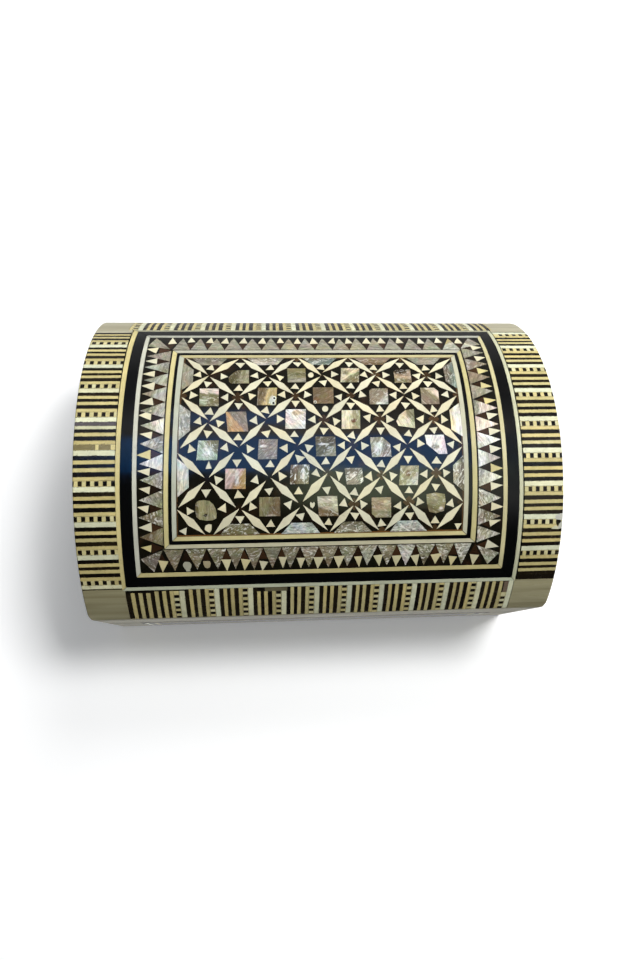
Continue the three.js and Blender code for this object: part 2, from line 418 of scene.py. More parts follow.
def lacquer(nt, b, low=0.10, high=0.24, ripple=0.05):
    """Gloss that differs from place to place, and the slight waviness of brushed lacquer."""
    c = coords(nt)
    link(nt, span(nt, noise(nt, c, 260, 4, 0.6), 0.3, 0.72, low, high), b.inputs["Roughness"])
    bump(nt, b, noise(nt, c, 420, 2, 0.5), ripple, 0.0002)
    b.inputs["IOR"].default_value = 1.5


def tinted(name, streak=0.10, pore=0.25, low=0.12, high=0.26):
    """Bone or wood, each piece in its own tint, with fine grain and a few dark pores."""
    m, nt, b = tree(name)
    c = coords(nt)
    col = attr(nt, "tint", "Color")
    g = scaled(nt, attr(nt, "local"), (0.30, 2.6, 0.0))
    fine = span(nt, noise(nt, g, 1.7, 4, 0.65), 0.28, 0.74, 1.0 - streak, 1.0 + streak * 0.5, False)
    broad = span(nt, noise(nt, c, 160, 2, 0.5), 0.3, 0.7, 0.9, 1.06, False)
    col = mix(nt, 1.0, col, grey(nt, maths(nt, "MULTIPLY", fine, broad)), "MULTIPLY")
    dots = span(nt, noise(nt, c, 1500, 2, 0.6), 0.66, 0.74, 0.0, pore)
    col = mix(nt, dots, col, (0.10, 0.07, 0.035))
    link(nt, col, b.inputs["Base Color"])
    lacquer(nt, b, low, high)
    return m


def stick_material(name):
    """Marquetry sticks: long grain, edges frayed into their neighbours."""
    m, nt, b = tree(name)
    c = coords(nt)
    col = attr(nt, "tint", "Color")
    loc = attr(nt, "local")
    fine = span(nt, noise(nt, scaled(nt, loc, (0.25, 2.8, 0.0)), 1.6, 5, 0.65), 0.28, 0.74, 0.80, 1.10, False)
    broad = span(nt, noise(nt, c, 190, 2, 0.5), 0.3, 0.7, 0.88, 1.08, False)
    col = mix(nt, 1.0, col, grey(nt, maths(nt, "MULTIPLY", fine, broad)), "MULTIPLY")
    sp = parts(nt, attr(nt, "spot"))
    fray = noise(nt, scaled(nt, loc, (0.9, 1.3, 0.0)), 1.5, 4, 0.7)
    side = maths(nt, "MAXIMUM", maths(nt, "ABSOLUTE", sp[0]), maths(nt, "ABSOLUTE", sp[1]))
    rim = maths(nt, "ADD", side, span(nt, fray, 0.25, 0.75, -0.6, 0.6, False))
    col = mix(nt, maths(nt, "MULTIPLY", span(nt, rim, 0.94, 1.14), sp[2]), col, attr(nt, "tint_c", "Color"))
    dirt = span(nt, noise(nt, c, 620, 4, 0.7), 0.60, 0.72, 0.0, 0.4)
    col = mix(nt, dirt, col, mix(nt, 1.0, col, (0.45, 0.38, 0.25), "MULTIPLY"))
    link(nt, col, b.inputs["Base Color"])
    lacquer(nt, b, 0.14, 0.32, 0.08)
    return m


def pearl_material(name):
    m, nt, b = tree(name)
    c = coords(nt)
    loc = attr(nt, "local")
    wob = span(nt, noise(nt, c, 300, 4, 0.62, 0.8), 0.2, 0.8, -1.0, 1.0, False)
    f = span(nt, maths(nt, "ADD", parts(nt, loc)["Z"], wob), -0.6, 0.6)
    col = mix(nt, f, attr(nt, "tint", "Color"), attr(nt, "tint_b", "Color"))
    # places of another shade in some tiles: dark ones, and white ones that are painted glints
    sp = parts(nt, attr(nt, "spot"))
    d = maths(nt, "SQRT", maths(nt, "ADD", maths(nt, "MULTIPLY", sp[0], sp[0]), maths(nt, "MULTIPLY", sp[1], sp[1])))
    d = maths(nt, "ADD", d, span(nt, noise(nt, c, 700, 3), 0.3, 0.7, -0.35, 0.35, False))
    col = mix(nt, maths(nt, "MULTIPLY", span(nt, d, 0.45, 1.2, 1.0, 0.0), sp[2]), col, attr(nt, "tint_c", "Color"))
    # growth layers, drawn out along each tile
    lay = noise(nt, scaled(nt, loc, (0.16, 1.0, 0.0)), 1.1, 6, 0.66, 0.9)
    line = noise(nt, scaled(nt, loc, (0.22, 3.4, 0.0)), 1.4, 3, 0.6, 0.6)
    shade = maths(nt, "MULTIPLY", span(nt, lay, 0.3, 0.7, 0.44, 1.44, False), span(nt, line, 0.3, 0.7, 0.80, 1.16, False))
    col = mix(nt, 1.0, col, grey(nt, shade), "MULTIPLY")
    # pink, green and gold play of colour: painted iridescent sheen of the nacre
    vm = nt.nodes.new("ShaderNodeVectorMath")
    vm.operation = "MULTIPLY_ADD"
    nt.links.new(noise(nt, c, 230, 3, 0.5, 1.2, "Color"), vm.inputs[0])
    vm.inputs[1].default_value = (0.56, 0.46, 0.70)
    vm.inputs[2].default_value = (0.73, 0.77, 0.63)
    col = mix(nt, 1.0, col, vm.outputs[0], "MULTIPLY")
    # painted glints: bright flecks that stand in for the shell's sparkling reflections, with painted dark patches
    # between them where the glint share is high
    glint_pattern = noise(nt, scaled(nt, loc, (0.34, 0.62, 0.0)), 1.0, 4, 0.68, 2.2)
    painted_reflection_dark = maths(nt, "MULTIPLY", span(nt, glint_pattern, 0.38, 0.50, 0.62, 0.0), attr(nt, "tint", "Alpha"))
    col = mix(nt, painted_reflection_dark, col, (0.05, 0.042, 0.022))
    amount = maths(nt, "ADD", attr(nt, "tint", "Alpha"), 0.12)
    col = mix(nt, maths(nt, "MULTIPLY", span(nt, glint_pattern, 0.545, 0.605), amount), col, (0.90, 0.88, 0.79))
    link(nt, col, b.inputs["Base Color"])
    b.inputs["Metallic"].default_value = 0.15
    link(nt, span(nt, lay, 0.3, 0.7, 0.13, 0.30, False), b.inputs["Roughness"])
    bump(nt, b, lay, 0.12, 0.0003)
    b.inputs["IOR"].default_value = 1.53
    return m


def ground_material(name, red=0.5, black=(0.0072, 0.0064, 0.0034)):
    """Black filler and wood with red-brown places, lacquered."""
    m, nt, b = tree(name)
    c = coords(nt)
    f = span(nt, noise(nt, c, 130, 4, 0.6, 0.4), 0.54, 0.70, 0.0, red)
    col = mix(nt, f, black, (0.040, 0.018, 0.008))
    fine = span(nt, noise(nt, c, 1100, 3, 0.6), 0.3, 0.7, 0.7, 1.3, False)
    col = mix(nt, 1.0, col, grey(nt, fine), "MULTIPLY")
    link(nt, col, b.inputs["Base Color"])
    lacquer(nt, b, 0.08, 0.18, 0.05)
    return m


def wood_material(name, dark, light, along, low, high, size=1.0):
    """Plain wood with grain drawn out along one axis (0 x, 1 y, 2 z)."""
    m, nt, b = tree(name)
    sc = [420 * size, 420 * size, 420 * size]
    sc[along] = 22 * size
    g = noise(nt, coords(nt, sc), 1.0, 5, 0.62, 0.8)
    wide = [120 * size, 120 * size, 120 * size]
    wide[along] = 9 * size
    w = noise(nt, coords(nt, wide), 1.0, 3, 0.5, 1.5)
    f = maths(nt, "ADD", maths(nt, "MULTIPLY", g, 0.55), maths(nt, "MULTIPLY", w, 0.45))
    col = mix(nt, span(nt, f, 0.36, 0.64), dark, light)
    link(nt, col, b.inputs["Base Color"])
    link(nt, span(nt, f, 0.3, 0.7, high, low, False), b.inputs["Roughness"])
    bump(nt, b, g, 0.06, 0.0003)
    b.inputs["IOR"].default_value = 1.5
    return m


BONE = tinted("bone")
STICK = stick_material("marquetry_sticks")
REDWOOD = tinted("red_brown_wood", 0.35, 0.2, 0.1, 0.22)
PEARL = pearl_material("mother_of_pearl")
BLACK = ground_material("black_band", 0.03, (0.0022, 0.0024, 0.0026))
GROUND = ground_material("dark_ground", 0.5)
# a paler copy of the khaki wood for the back: painted sheen of the light that the back of the lid catches
KHAKI_PAINTED_SHEEN = wood_material("khaki_corner_wood_pale", (0.37, 0.34, 0.225), (0.55, 0.52, 0.38), 0, 0.22, 0.4, 0.6)
KHAKI = wood_material("khaki_corner_wood", (0.26, 0.228, 0.118), (0.43, 0.395, 0.235), 0, 0.22, 0.4, 0.6)
DARK_WOOD = wood_material("dark_lacquered_wood", (0.010, 0.007, 0.005), (0.036, 0.020, 0.012), 0, 0.16, 0.3)
PLAIN_WOOD = wood_material("plain_inside_wood", (0.13, 0.062, 0.028), (0.27, 0.145, 0.07), 0, 0.45, 0.7)

# ------------------------------------------------------------------ tints
CREAM = (0.77, 0.72, 0.505)
WHITE = (0.80, 0.80, 0.55)
YELLOW = (0.645, 0.55, 0.245)
PALE_YELLOW = (0.69, 0.605, 0.29)
INK = (0.007, 0.005, 0.003)
TAR = (0.026, 0.018, 0.007)
BROWN = (0.085, 0.046, 0.018)


def vary(c, amount=0.08, warm=0.03):
    k = 1 + rng.uniform(-amount, amount * 0.6)
    w = rng.uniform(-warm, warm)
    return (min(c[0] * k * (1 + w), 0.92), min(c[1] * k, 0.9), min(c[2] * k * (1 - 2 * w), 0.85))


def between(a, b, t):
    return tuple(x * t + y * (1 - t) for x, y in zip(a, b))


# ------------------------------------------------------------------ the star panel
def column(j):
    return 0.3 + 9.33 * (j - 5) - 0.038 * (j - 5) ** 2


def row(k):
    return -0.25 + 9.23 * (k - 3.5) + 0.045 * (k - 3.5) ** 2


# Corners of the rectangles that the frames follow: back left, back right, front right, front left
Q = [
    [(-46.4, -31.8), (46.9, -31.8), (45.9, 32.9), (-47.85, 32.9)],
    [(-48.15, -33.3), (48.5, -33.3), (47.4, 34.35), (-49.35, 34.35)],
    [(-49.05, -34.6), (49.7, -34.6), (48.7, 35.6), (-50.45, 35.6)],
    [(-50.6, -36.2), (51.2, -36.2), (50.4, 37), (-51.95, 37)],
    [(-59.6, -45.3), (59.7, -45.3), (59.2, 45.6), (-60.15, 45.6)],
    [(-61, -47), (61.1, -47), (60.7, 47.2), (-61.65, 47.2)],
    [(-64.6, -51), (65, -51), (64.7, 51.1), (-65.55, 51.1)],
    [(-66.3, -52.4), (66.3, -52.4), (66.1, 52.5), (-66.85, 52.5)],
]


def shrink(quad, d):
    """The same rectangle, moved in by d on every side."""
    sx, sy = (1, -1, -1, 1), (1, 1, -1, -1)
    return [(p[0] + sx[i] * d, p[1] + sy[i] * d) for i, p in enumerate(quad)]


def mitred(inlay, outer, inner, top, tints, gap=0.05, bottom=-VENEER):
    """Four sticks round a rectangle (back, right, front, left), mitred at the corners."""
    o, i = shrink(outer, gap), shrink(inner, -gap)
    for n in range(4):
        m = (n + 1) % 4
        along = 0 if n % 2 == 0 else 1
        a, b, c, d = o[n], o[m], i[m], i[n]
        g = (gap + 0.08 if gap else 0.0) * (1 if (b[along] > a[along]) else -1)

        def move(p, k):
            q = list(p)
            q[along] += k
            return tuple(q)

        grain = 0.0 if along == 0 else math.pi / 2
        inlay.add([move(a, g), move(b, -g), move(c, -g), move(d, g)], top, bottom, vary(tints[n], 0.05), split=(grain, 1e3, 1.0))


def stick_frame(name, k, tints, replaces, slot, mat=None, top=0.03):
    s = Inlay(name)
    mitred(s, Q[k + 1], Q[k], top, tints)
    return s.build(mat or BONE, slot, replaces)


stick_frame("panel_frame_inner_line_inlay", 0, [(0.55, 0.49, 0.26), (0.57, 0.56, 0.41), PALE_YELLOW, (0.56, 0.57, 0.44)], ["panel_frame_inner_line"], "panel_frame_bone")
stick_frame("panel_frame_black_line_inlay", 1, [INK] * 4, ["panel_frame_black_line"], "black_wood", BLACK, 0.0)
stick_frame("panel_frame_outer_line_inlay", 2, [(0.57, 0.54, 0.41), (0.58, 0.51, 0.24), (0.62, 0.58, 0.39), PALE_YELLOW], ["panel_frame_outer_line"], "panel_frame_bone")
stick_frame("tooth_border_ground_inlay", 3, [INK] * 4, ["tooth_border_ground"], "dark_ground", GROUND, 0.0)
stick_frame("inner_bone_line_inlay", 4, [(0.45, 0.44, 0.35), (0.60, 0.56, 0.33), PALE_YELLOW, (0.66, 0.64, 0.50)], ["inner_bone_line"], "bone")
stick_frame("black_band_inlay", 5, [INK] * 4, ["black_band"], "black_wood", BLACK, 0.0)
stick_frame("outer_bone_line_inlay", 6, [(0.44, 0.42, 0.28), (0.60, 0.60, 0.41), (0.66, 0.67, 0.46), PALE_YELLOW], ["outer_bone_line"], "bone")

g = Inlay("panel_ground_inlay")
g.add(Q[0], 0.0, -VENEER, INK)
g.build(GROUND, "dark_ground", ["panel_ground"])


def keep(p):
    """Inside the panel's frame."""
    t = (p[1] + 31.8) / 64.7
    return (min(max(p[0], -46.5 - 1.2 * t), 47.0 - t), min(max(p[1], -31.7), 32.8))


def red(x, s):
    """How brown the wood is: hardly at the front left."""
    return rng.uniform(0.0, 0.3) if s > 4 and x < 8 else rng.uniform(0.25, 1.0)


# Bone rhombi along every side of the lattice, each in a thin line of red-brown wood. They were laid
# by hand: middle, direction in degrees and half sizes of each, row by row from the back
RHOMBI = [
    (-41.95, -27.61, 47, 5.7, 1.22), (-32.33, -27.28, 140, 6, 1.37), (-22.46, -27.29, 43, 6, 1.29), (-12.49, -27.1, 136, 5.8, 1.26),
    (-3.49, -27.3, 49, 5.9, 1.28), (5.53, -27.97, 141, 5.9, 1.25), (14.44, -27.39, 46, 5.8, 1.19), (23.74, -27.55, 141, 6, 1.32),
    (32.46, -27.17, 50, 5.8, 1.27), (42.07, -27.33, 140, 5.9, 1.28), (-41.87, -19.11, 138, 5.8, 1.26), (-32.85, -18.23, 43, 5.9, 1.25),
    (-22.77, -18.39, 138, 6, 1.32), (-13.31, -18.41, 42, 5.6, 1.19), (-4.29, -18.56, 139, 5.7, 1.16), (5.28, -18.82, 44, 5.8, 1.34),
    (14.93, -18.9, 135, 6, 1.32), (23.59, -18.54, 41, 5.7, 1.16), (32.09, -18.28, 138, 5.7, 1.2), (41.53, -18.38, 38, 5.9, 1.33),
    (-41.83, -9.64, 44, 6, 1.32), (-32.76, -8.98, 135, 5.9, 1.27), (-22.89, -9.44, 42, 5.8, 1.14), (-13.69, -9.89, 138, 5.9, 1.33),
    (-4, -9.74, 45, 5.7, 1.27), (5.33, -9.68, 136, 6, 1.34), (14.11, -9.61, 38, 5.9, 1.26), (23.67, -9.89, 136, 5.8, 1.2),
    (32.93, -9.58, 40, 5.9, 1.18), (41.71, -9.73, 136, 6, 1.33), (-41.97, -0.05, 135, 6.1, 1.36), (-32.4, 0.07, 40, 6.2, 1.35),
    (-23.04, -0.58, 134, 5.8, 1.2), (-13.52, -0.14, 37, 5.6, 1.39), (-4.23, -0.54, 134, 5.8, 1.38), (4.79, -0.71, 41, 5.6, 1.28),
    (14.01, -0.6, 136, 5.7, 1.22), (23.31, -0.48, 46, 5.9, 1.35), (32.4, -0.56, 137, 5.9, 1.26), (41.58, -0.24, 42, 6, 1.28),
    (-43.05, 9.75, 42, 6.1, 1.25), (-33.04, 9.69, 135, 5.8, 1.24), (-22.46, 9.7, 43, 5.7, 1.35), (-13.16, 9.39, 133, 5.7, 1.28),
    (-3.76, 8.83, 43, 5.6, 1.14), (5.41, 8.12, 133, 5.6, 1.19), (14.23, 9.15, 45, 5.9, 1.32), (23.01, 9.39, 133, 5.9, 1.29),
    (32.34, 8.91, 45, 5.6, 1.16), (41.73, 8.76, 136, 5.8, 1.28), (-42.74, 19.17, 136, 6, 1.34), (-32.81, 19.39, 45, 5.9, 1.26),
    (-22.97, 19.45, 133, 5.9, 1.3), (-12.97, 18.35, 43, 6, 1.31), (-3.08, 17.56, 132, 6.2, 1.45), (5.63, 18.14, 49, 5.8, 1.25),
    (14.04, 18.59, 136, 6, 1.25), (22.85, 18.24, 47, 5.9, 1.32), (32.39, 18.05, 133, 5.6, 1.15), (41.57, 18.48, 47, 6.1, 1.33),
    (-43.28, 28.05, 43, 6.2, 1.3), (-31.89, 28.21, 135, 6, 1.35), (-22.37, 28.43, 42, 6.1, 1.4), (-12.49, 28.3, 135, 6.1, 1.32),
    (-3.09, 27.4, 47, 5.9, 1.18), (5.48, 27.93, 132, 5.8, 1.21), (13.81, 27.85, 46, 5.8, 1.25), (23.67, 27.98, 133, 5.8, 1.26),
    (31.78, 27.3, 48, 6, 1.36), (41.38, 27.69, 135, 6.1, 1.38),
]
SIDES = [(j, k, dj) for k in range(7) for j in range(11) if (j + k) % 2 == 0 for dj in (-1, 1) if 0 <= j + dj <= 10]
rhombi = Inlay("bone_rhombi")
brown = Inlay("brown_lines")
ends = {}
for (j, k, dj), (mx, ms, turn, hl, hw) in zip(SIDES, RHOMBI):
    ang = math.radians(turn)
    d, n = (math.cos(ang), math.sin(ang)), (-math.sin(ang), math.cos(ang))
    ends.setdefault((j, k), []).append((mx - d[0] * hl, ms - d[1] * hl))
    ends.setdefault((j + dj, k + 1), []).append((mx + d[0] * hl, ms + d[1] * hl))
    slip = rng.uniform(-0.35, 0.35)

    def lozenge(l, w):
        return [
            keep((mx + d[0] * l, ms + d[1] * l)),
            keep((mx + n[0] * w + d[0] * slip, ms + n[1] * w + d[1] * slip)),
            keep((mx - d[0] * l, ms - d[1] * l)),
            keep((mx - n[0] * w + d[0] * slip, ms - n[1] * w + d[1] * slip)),
        ]

    rhombi.add(lozenge(hl, hw), 0.05, -0.5, vary(CREAM, 0.06), split=(ang, 1e3, 1.0), tilt=0.006)
    brown.add(lozenge(hl + 0.7, hw + 0.2), 0.012, -0.4, between(BROWN, INK, red(mx, ms)), split=(ang, 1e3, 1.0))
rhombi.build(BONE, "bone")

# Red-brown wood at the crossings, and the thin line of it inside the frame
for meet in ends.values():
    if rng.random() < 0.3:
        continue
    x, s = sum(q[0] for q in meet) / len(meet), sum(q[1] for q in meet) / len(meet)
    h = 1.9 + rng.uniform(-0.4, 0.4)
    pts = [keep(p) for p in ((x - h, s), (x, s - h), (x + h, s), (x, s + h))]
    if abs(area(pts)) > 0.5:
        brown.add(pts, 0.016, -0.4, between(BROWN, INK, red(x, s)))
mitred(brown, shrink(Q[0], 0.02), shrink(Q[0], 0.5), 0.02, [BROWN, BROWN, (0.17, 0.082, 0.024), BROWN], 0.0, -0.4)
brown.build(REDWOOD, "dark_ground")

# Pearl squares: column, row, shifts, width and height over the usual, lean, cut corner and size
SQUARES = [
    [2, 1, 0.2, 0.7, 0, -0.2, 0.1, 0, 2.6],
    [4, 1, 1.02, 0.05, -0.32, -0.17, 0.02, -1, 0],
    [6, 1, 0.63, 0.07, -0.21, -0.03, -0.35, -1, 0],
    [8, 1, 0.42, 0.62, -0.64, -0.58, -0.06, 0, 0.9],
    [1, 2, 0.36, 0.12, -0.22, 0.39, 0.03, -1, 0],
    [3, 2, 0.34, -0.09, -0.22, 0.37, -0.21, -1, 0],
    [5, 2, 0.3, -0.33, 0.34, -0.11, -0.07, -1, 0],
    [7, 2, 0.5, 0.15, -0.22, -0.23, -0.14, 0, 0.9],
    [9, 2, -0.23, 0.11, -0.44, 0.06, -0.14, 1, 1.4],
    [2, 3, -0.06, 0.12, 0.12, 0.53, 0.36, -1, 0],
    [4, 3, 0.14, -0.65, 0.09, 0.49, -0.19, -1, 0],
    [6, 3, -0.22, -0.28, -0.37, 0.22, -0.14, -1, 0],
    [8, 3, -0.6, -0.1, 0, 0.4, 0, 0, 3.1],
    [1, 4, 0.13, 0.59, 0.05, -0.02, -0.29, -1, 0],
    [3, 4, 0.34, 0.44, -0.38, 0.1, -0.22, -1, 0],
    [5, 4, 0.37, -0.29, -0.01, 0.07, 0.05, -1, 0],
    [7, 4, -0.03, 0.16, -0.06, 0.1, 0.2, 1, 2.3],
    [9, 4, 0.26, -0.51, -0.2, 0.03, 0.44, 3, 3.4],
    [2, 5, -0.65, 0.65, 0.03, -0.01, -0.1, -1, 0],
    [4, 5, 1.07, -0.49, -0.43, -0.22, -0.21, -1, 0],
    [6, 5, 0.17, 0.36, -0.85, -1.17, 0.32, 2, 1.2],
    [8, 5, -0.15, 0.35, -0.34, -0.14, -0.29, -1, 0],
    [1, 6, -1, 1.2, 0, 0.3, 0.1, 1, 1.5],
    [3, 6, 0.67, 0.41, 0.23, -0.26, 0, -1, 0],
    [5, 6, 0.74, 0.58, -0.09, 0.05, 0.23, -1, 0],
    [7, 6, -0.25, 1.33, -0.14, 0.14, 0.05, 3, 1.3],
    [9, 6, -0.4, 0.4, 0, 0, 0.3, 3, 2.6],
]
# A few tiles have outlines of their own
OUTLINES = {
    (2, 1): [(-27.9, -25.4), (-24.2, -25.4), (-24.2, -19.5), (-30.1, -19.4), (-30.9, -20.2), (-31, -22.2), (-29.6, -24)],
    (8, 3): [(30.7, -8.8), (27.8, -8.3), (25.7, -6.6), (24.5, -4.3), (25.1, -2.7), (30.6, -1.8)],
    (1, 6): [(-41.5, 22), (-40.6, 21.2), (-38.9, 21), (-37.1, 21.3), (-35.9, 22.4), (-35.2, 23.9), (-34.9, 25.4), (-35, 27), (-36.2, 27.6), (-38.2, 27.7), (-40.4, 27.3), (-41.4, 26.4), (-41.7, 24.1)],
    (9, 6): [(33.5, 20.3), (36.6, 19.8), (39.6, 20.4), (39.9, 23), (39.3, 25.9), (36.6, 26.7), (34.4, 26.1), (33.6, 23)],
}
# Shades of the shell; the light and dark shades of the tiles paint in the reflections they catch along with the shell's
# own colour
SHELL = {
    "dark": (0.030, 0.020, 0.012),
    "olive_dark": (0.130, 0.112, 0.055),
    "olive": (0.25, 0.225, 0.118),
    "olive_pale": (0.37, 0.34, 0.195),
    "grey": (0.345, 0.325, 0.245),
    "stone": (0.27, 0.245, 0.150),
    "stone_pale": (0.40, 0.375, 0.255),
    "sand": (0.45, 0.355, 0.245),
    "ash": (0.215, 0.190, 0.138),
    "tan": (0.30, 0.245, 0.165),
    "silver": (0.56, 0.54, 0.44),
    "white": (0.90, 0.87, 0.77),
    "blush": (0.86, 0.72, 0.62),
    "peach": (0.66, 0.48, 0.33),
    "pink": (0.74, 0.55, 0.45),
    "mauve": (0.285, 0.235, 0.178),
    "gold": (0.60, 0.46, 0.215),
    "cream": (0.78, 0.70, 0.47),
    "orange": (0.52, 0.33, 0.15),
    "brown": (0.205, 0.148, 0.080),
    "rust": (0.155, 0.065, 0.030),
    "green": (0.50, 0.58, 0.40),
    "teal": (0.225, 0.285, 0.235),
    "sky": (0.58, 0.66, 0.61),
    "lilac": (0.40, 0.33, 0.31),
}
# Look of each square, in the same order: main and second shade, grain, shift and softness of the
# second shade, a spot (place, half sizes, strength, shade) and the share of painted glints. White spots are painted
# glints
LOOKS = [
    ("olive_dark", "olive_pale", -1.4, 0.6, 1.4, (0.6, 1.4, 1.6, 0.8, 0.5, "olive_pale"), 0.15),
    ("olive", "grey", 0.0, 0.8, 1.8, (0, -0.6, 3.4, 0.4, 0.7, "olive_dark"), 0.1),
    ("cream", "olive", -0.8, 0.6, 1.2, (-1.7, -1.2, 1.9, 1.5, 0.85, "olive"), 0.4),
    ("sand", "olive", 0.1, 1.2, 1.0, (-0.6, -2.6, 3.8, 1.9, 0.97, "dark"), 0.45),
    ("blush", "olive", 0.1, -1.3, 0.8, (-2.0, 1.8, 1.6, 1.6, 0.8, "green"), 0.5),
    ("brown", "gold", -1.3, -0.4, 1.6, (1.7, 1.6, 1.2, 1.7, 1.0, "white"), 0.1),
    ("brown", "brown", -0.5, 1.0, 2.2, (-2.4, 1.3, 1.0, 1.0, 0.6, "rust"), 0.0),
    ("tan", "silver", -0.8, 1.2, 1.2, (0.4, 2.9, 1.6, 0.6, 1.0, "white"), 0.3),
    ("tan", "blush", -2.3, 1.5, 1.0, (0.4, -2.4, 1.6, 0.6, 0.4, "olive"), 0.15),
    ("mauve", "orange", 0.9, 0.2, 0.7, (-2.0, 0.2, 0.7, 1.6, 0.7, "gold"), 0.12),
    ("white", "blush", 0.8, 0.8, 1.4, (0.6, -2.3, 2.6, 1.0, 0.7, "gold"), 0.6),
    ("cream", "olive_pale", -1.5, 0.4, 1.2, (0.9, 0.4, 1.0, 0.9, 1.0, "rust"), 0.3),
    ("cream", "olive", -2.2, 1.8, 0.9, (0.0, 0.6, 1.9, 1.5, 0.8, "white"), 0.3),
    ("green", "olive", -2.2, 1.3, 1.2, (0.2, 0.7, 1.6, 2.2, 0.9, "white"), 0.6),
    ("mauve", "mauve", 2.4, 0.0, 2.4, (-1.4, -1.0, 1.1, 0.5, 0.8, "white"), 0.2),
    ("olive_dark", "stone", -0.6, 1.2, 1.2, (-0.6, -0.7, 2.2, 0.4, 0.8, "white"), 0.25),
    ("stone_pale", "tan", -1.1, 0.6, 0.7, (-0.9, 0.2, 1.5, 2.2, 0.75, "white"), 0.6),
    ("white", "blush", -1.2, 1.5, 0.8, (-0.4, 0.9, 1.6, 1.0, 0.85, "olive"), 0.4),
    ("pink", "orange", -1.0, 0.7, 0.9, (0.5, -0.2, 0.8, 2.9, 0.9, "white"), 0.3),
    ("brown", "stone", -1.45, -0.6, 0.5, (1.3, 0.6, 0.9, 1.7, 1.0, "white"), 1.0),
    ("ash", "grey", -0.6, 0.2, 0.8, (-0.4, -0.2, 1.4, 0.8, 0.7, "white"), 1.0),
    ("olive_pale", "silver", -0.8, 1.4, 0.9, (-0.4, -0.6, 1.2, 1.2, 0.8, "rust"), 0.45),
    ("olive_pale", "olive_dark", 1.5, 2.3, 0.7, (0.3, 1.6, 0.8, 0.5, 1.0, "dark"), 0.1),
    ("olive", "brown", -1.57, 0.6, 1.8, (0.2, 2.9, 2.2, 0.5, 0.7, "silver"), 0.05),
    ("silver", "brown", 0.25, 1.3, 0.9, (-0.3, -0.5, 2.4, 0.7, 0.6, "olive"), 0.4),
    ("sand", "olive_pale", 0.05, 0.6, 0.9, (1.8, -1.6, 1.4, 1.2, 0.8, "cream"), 0.3),
    ("olive_pale", "olive", 0.2, 0.4, 1.6, (1.9, 1.5, 0.7, 0.5, 0.9, "white"), 0.3),
]


def square(x, s, w, h, lean, cut, size):
    a, b = w / 2, h / 2
    c = [(-a - lean, -b), (a - lean, -b), (a + lean, b), (-a + lean, b)]
    if cut >= 0:
        q = c[cut]

        def towards(p):
            d = math.hypot(p[0] - q[0], p[1] - q[1])
            return (q[0] + (p[0] - q[0]) * size / d, q[1] + (p[1] - q[1]) * size / d)

        c = c[:cut] + [towards(c[(cut + 3) % 4]), towards(c[(cut + 1) % 4])] + c[cut + 1 :]
    return [(x + u, s + v) for u, v in c]


def shell_piece(inlay, poly, top, bottom, look, tilt, centre=None):
    a, b, ang, shift, soft, spot, glint = look
    if spot:
        spot = (*spot[:5], SHELL[spot[5]])
    inlay.add(poly, top, bottom, vary(SHELL[a], 0.06), vary(SHELL[b], 0.06), (ang, shift, soft), spot, tilt, glint=glint, centre=centre)


squares = Inlay("pearl_squares")
for (j, k, dx, ds, dw, dh, lean, cut, size), look in zip(SQUARES, LOOKS):
    mid = (column(j) + dx, row(k) + ds)
    poly = OUTLINES.get((j, k)) or square(*mid, 6.5 + dw, 6.5 + dh, lean, cut, size)
    shell_piece(squares, poly, 0.06, -0.7, look, 0.03, mid)
squares.build(PEARL, "pearl", [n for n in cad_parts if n.startswith("pearl_square_")])

# Pearl trapezoids along the frame
edges = Inlay("pearl_edge_tiles")


def trapezoid(side, at, long=12.4, short=6.4, height=3.6):
    a, b = long / 2 + rng.uniform(-0.3, 0.3), short / 2 + rng.uniform(-0.4, 0.4)
    o = rng.uniform(-0.4, 0.4)
    if side == "back":
        y = -31.55
        return [(at - a, y), (at + a, y), (at + b + o, y + height), (at - b + o, y + height)]
    if side == "front":
        y = 32.6
        return [(at - b + o, y - height), (at + b + o, y - height), (at + a, y), (at - a, y)]
    if side == "left":
        x = -46.9 - 0.0185 * at
        return [(x, at - a), (x + height, at - b + o), (x + height, at + b + o), (x, at + a)]
    x = 46.35 - 0.0155 * at
    return [(x - height, at - b + o), (x, at - a), (x, at + a), (x - height, at + b + o)]


# Shades of the trapezoids and their share of painted glints; the white one in the middle of the right side is a painted
# highlight, the pale bluish last one on the left side a painted reflection of the blue light overhead
EDGE_LOOKS = {
    "back": [("ash", "grey", 0.4), ("grey", "silver", 0.6), ("ash", "teal", 0.5), ("tan", "brown", 0.2), ("grey", "grey", 0.2)],
    "front": [("stone", "olive", 0.8), ("sky", "sky", 1.0), ("stone", "grey", 0.9), ("sky", "silver", 1.0)],
    "left": [("grey", "grey", 0.1), ("grey", "silver", 0.6), ("sky", "white", 0.3)],
    "right": [("teal", "ash", 0.5), ("white", "cream", 0.3), ("ash", "silver", 0.9)],
}
for side, at in (
    ("back", [column(j) for j in (1, 3, 5, 7, 9)]),
    ("front", [column(j) + d for j, d in ((2, 0.5), (4, 1.2), (6, -0.3), (8, -0.3))]),
    ("left", [row(k) for k in (1, 3, 5)]),
    ("right", [row(k) for k in (1, 3, 5)]),
):
    for t, (a, b, glint) in zip(at, EDGE_LOOKS[side]):
        ang = rng.uniform(-0.15, 0.15) + (0 if side in ("back", "front") else math.pi / 2)
        shell_piece(edges, trapezoid(side, t), 0.05, -0.7, (a, b, ang, rng.uniform(-0.8, 0.8), 1.6, None, glint), 0.015)
edges.build(PEARL, "pearl", [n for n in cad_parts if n.startswith("pearl_edge_")])


def turned(points, at, ang):
    c, s = math.cos(ang), math.sin(ang)
    return [(at[0] + u * c - v * s, at[1] + u * s + v * c) for u, v in points]


def disc(at, a, b, ang=0.0, n=14):
    return turned([(a * math.cos(t * 2 * math.pi / n), b * math.sin(t * 2 * math.pi / n)) for t in range(n)], at, ang)


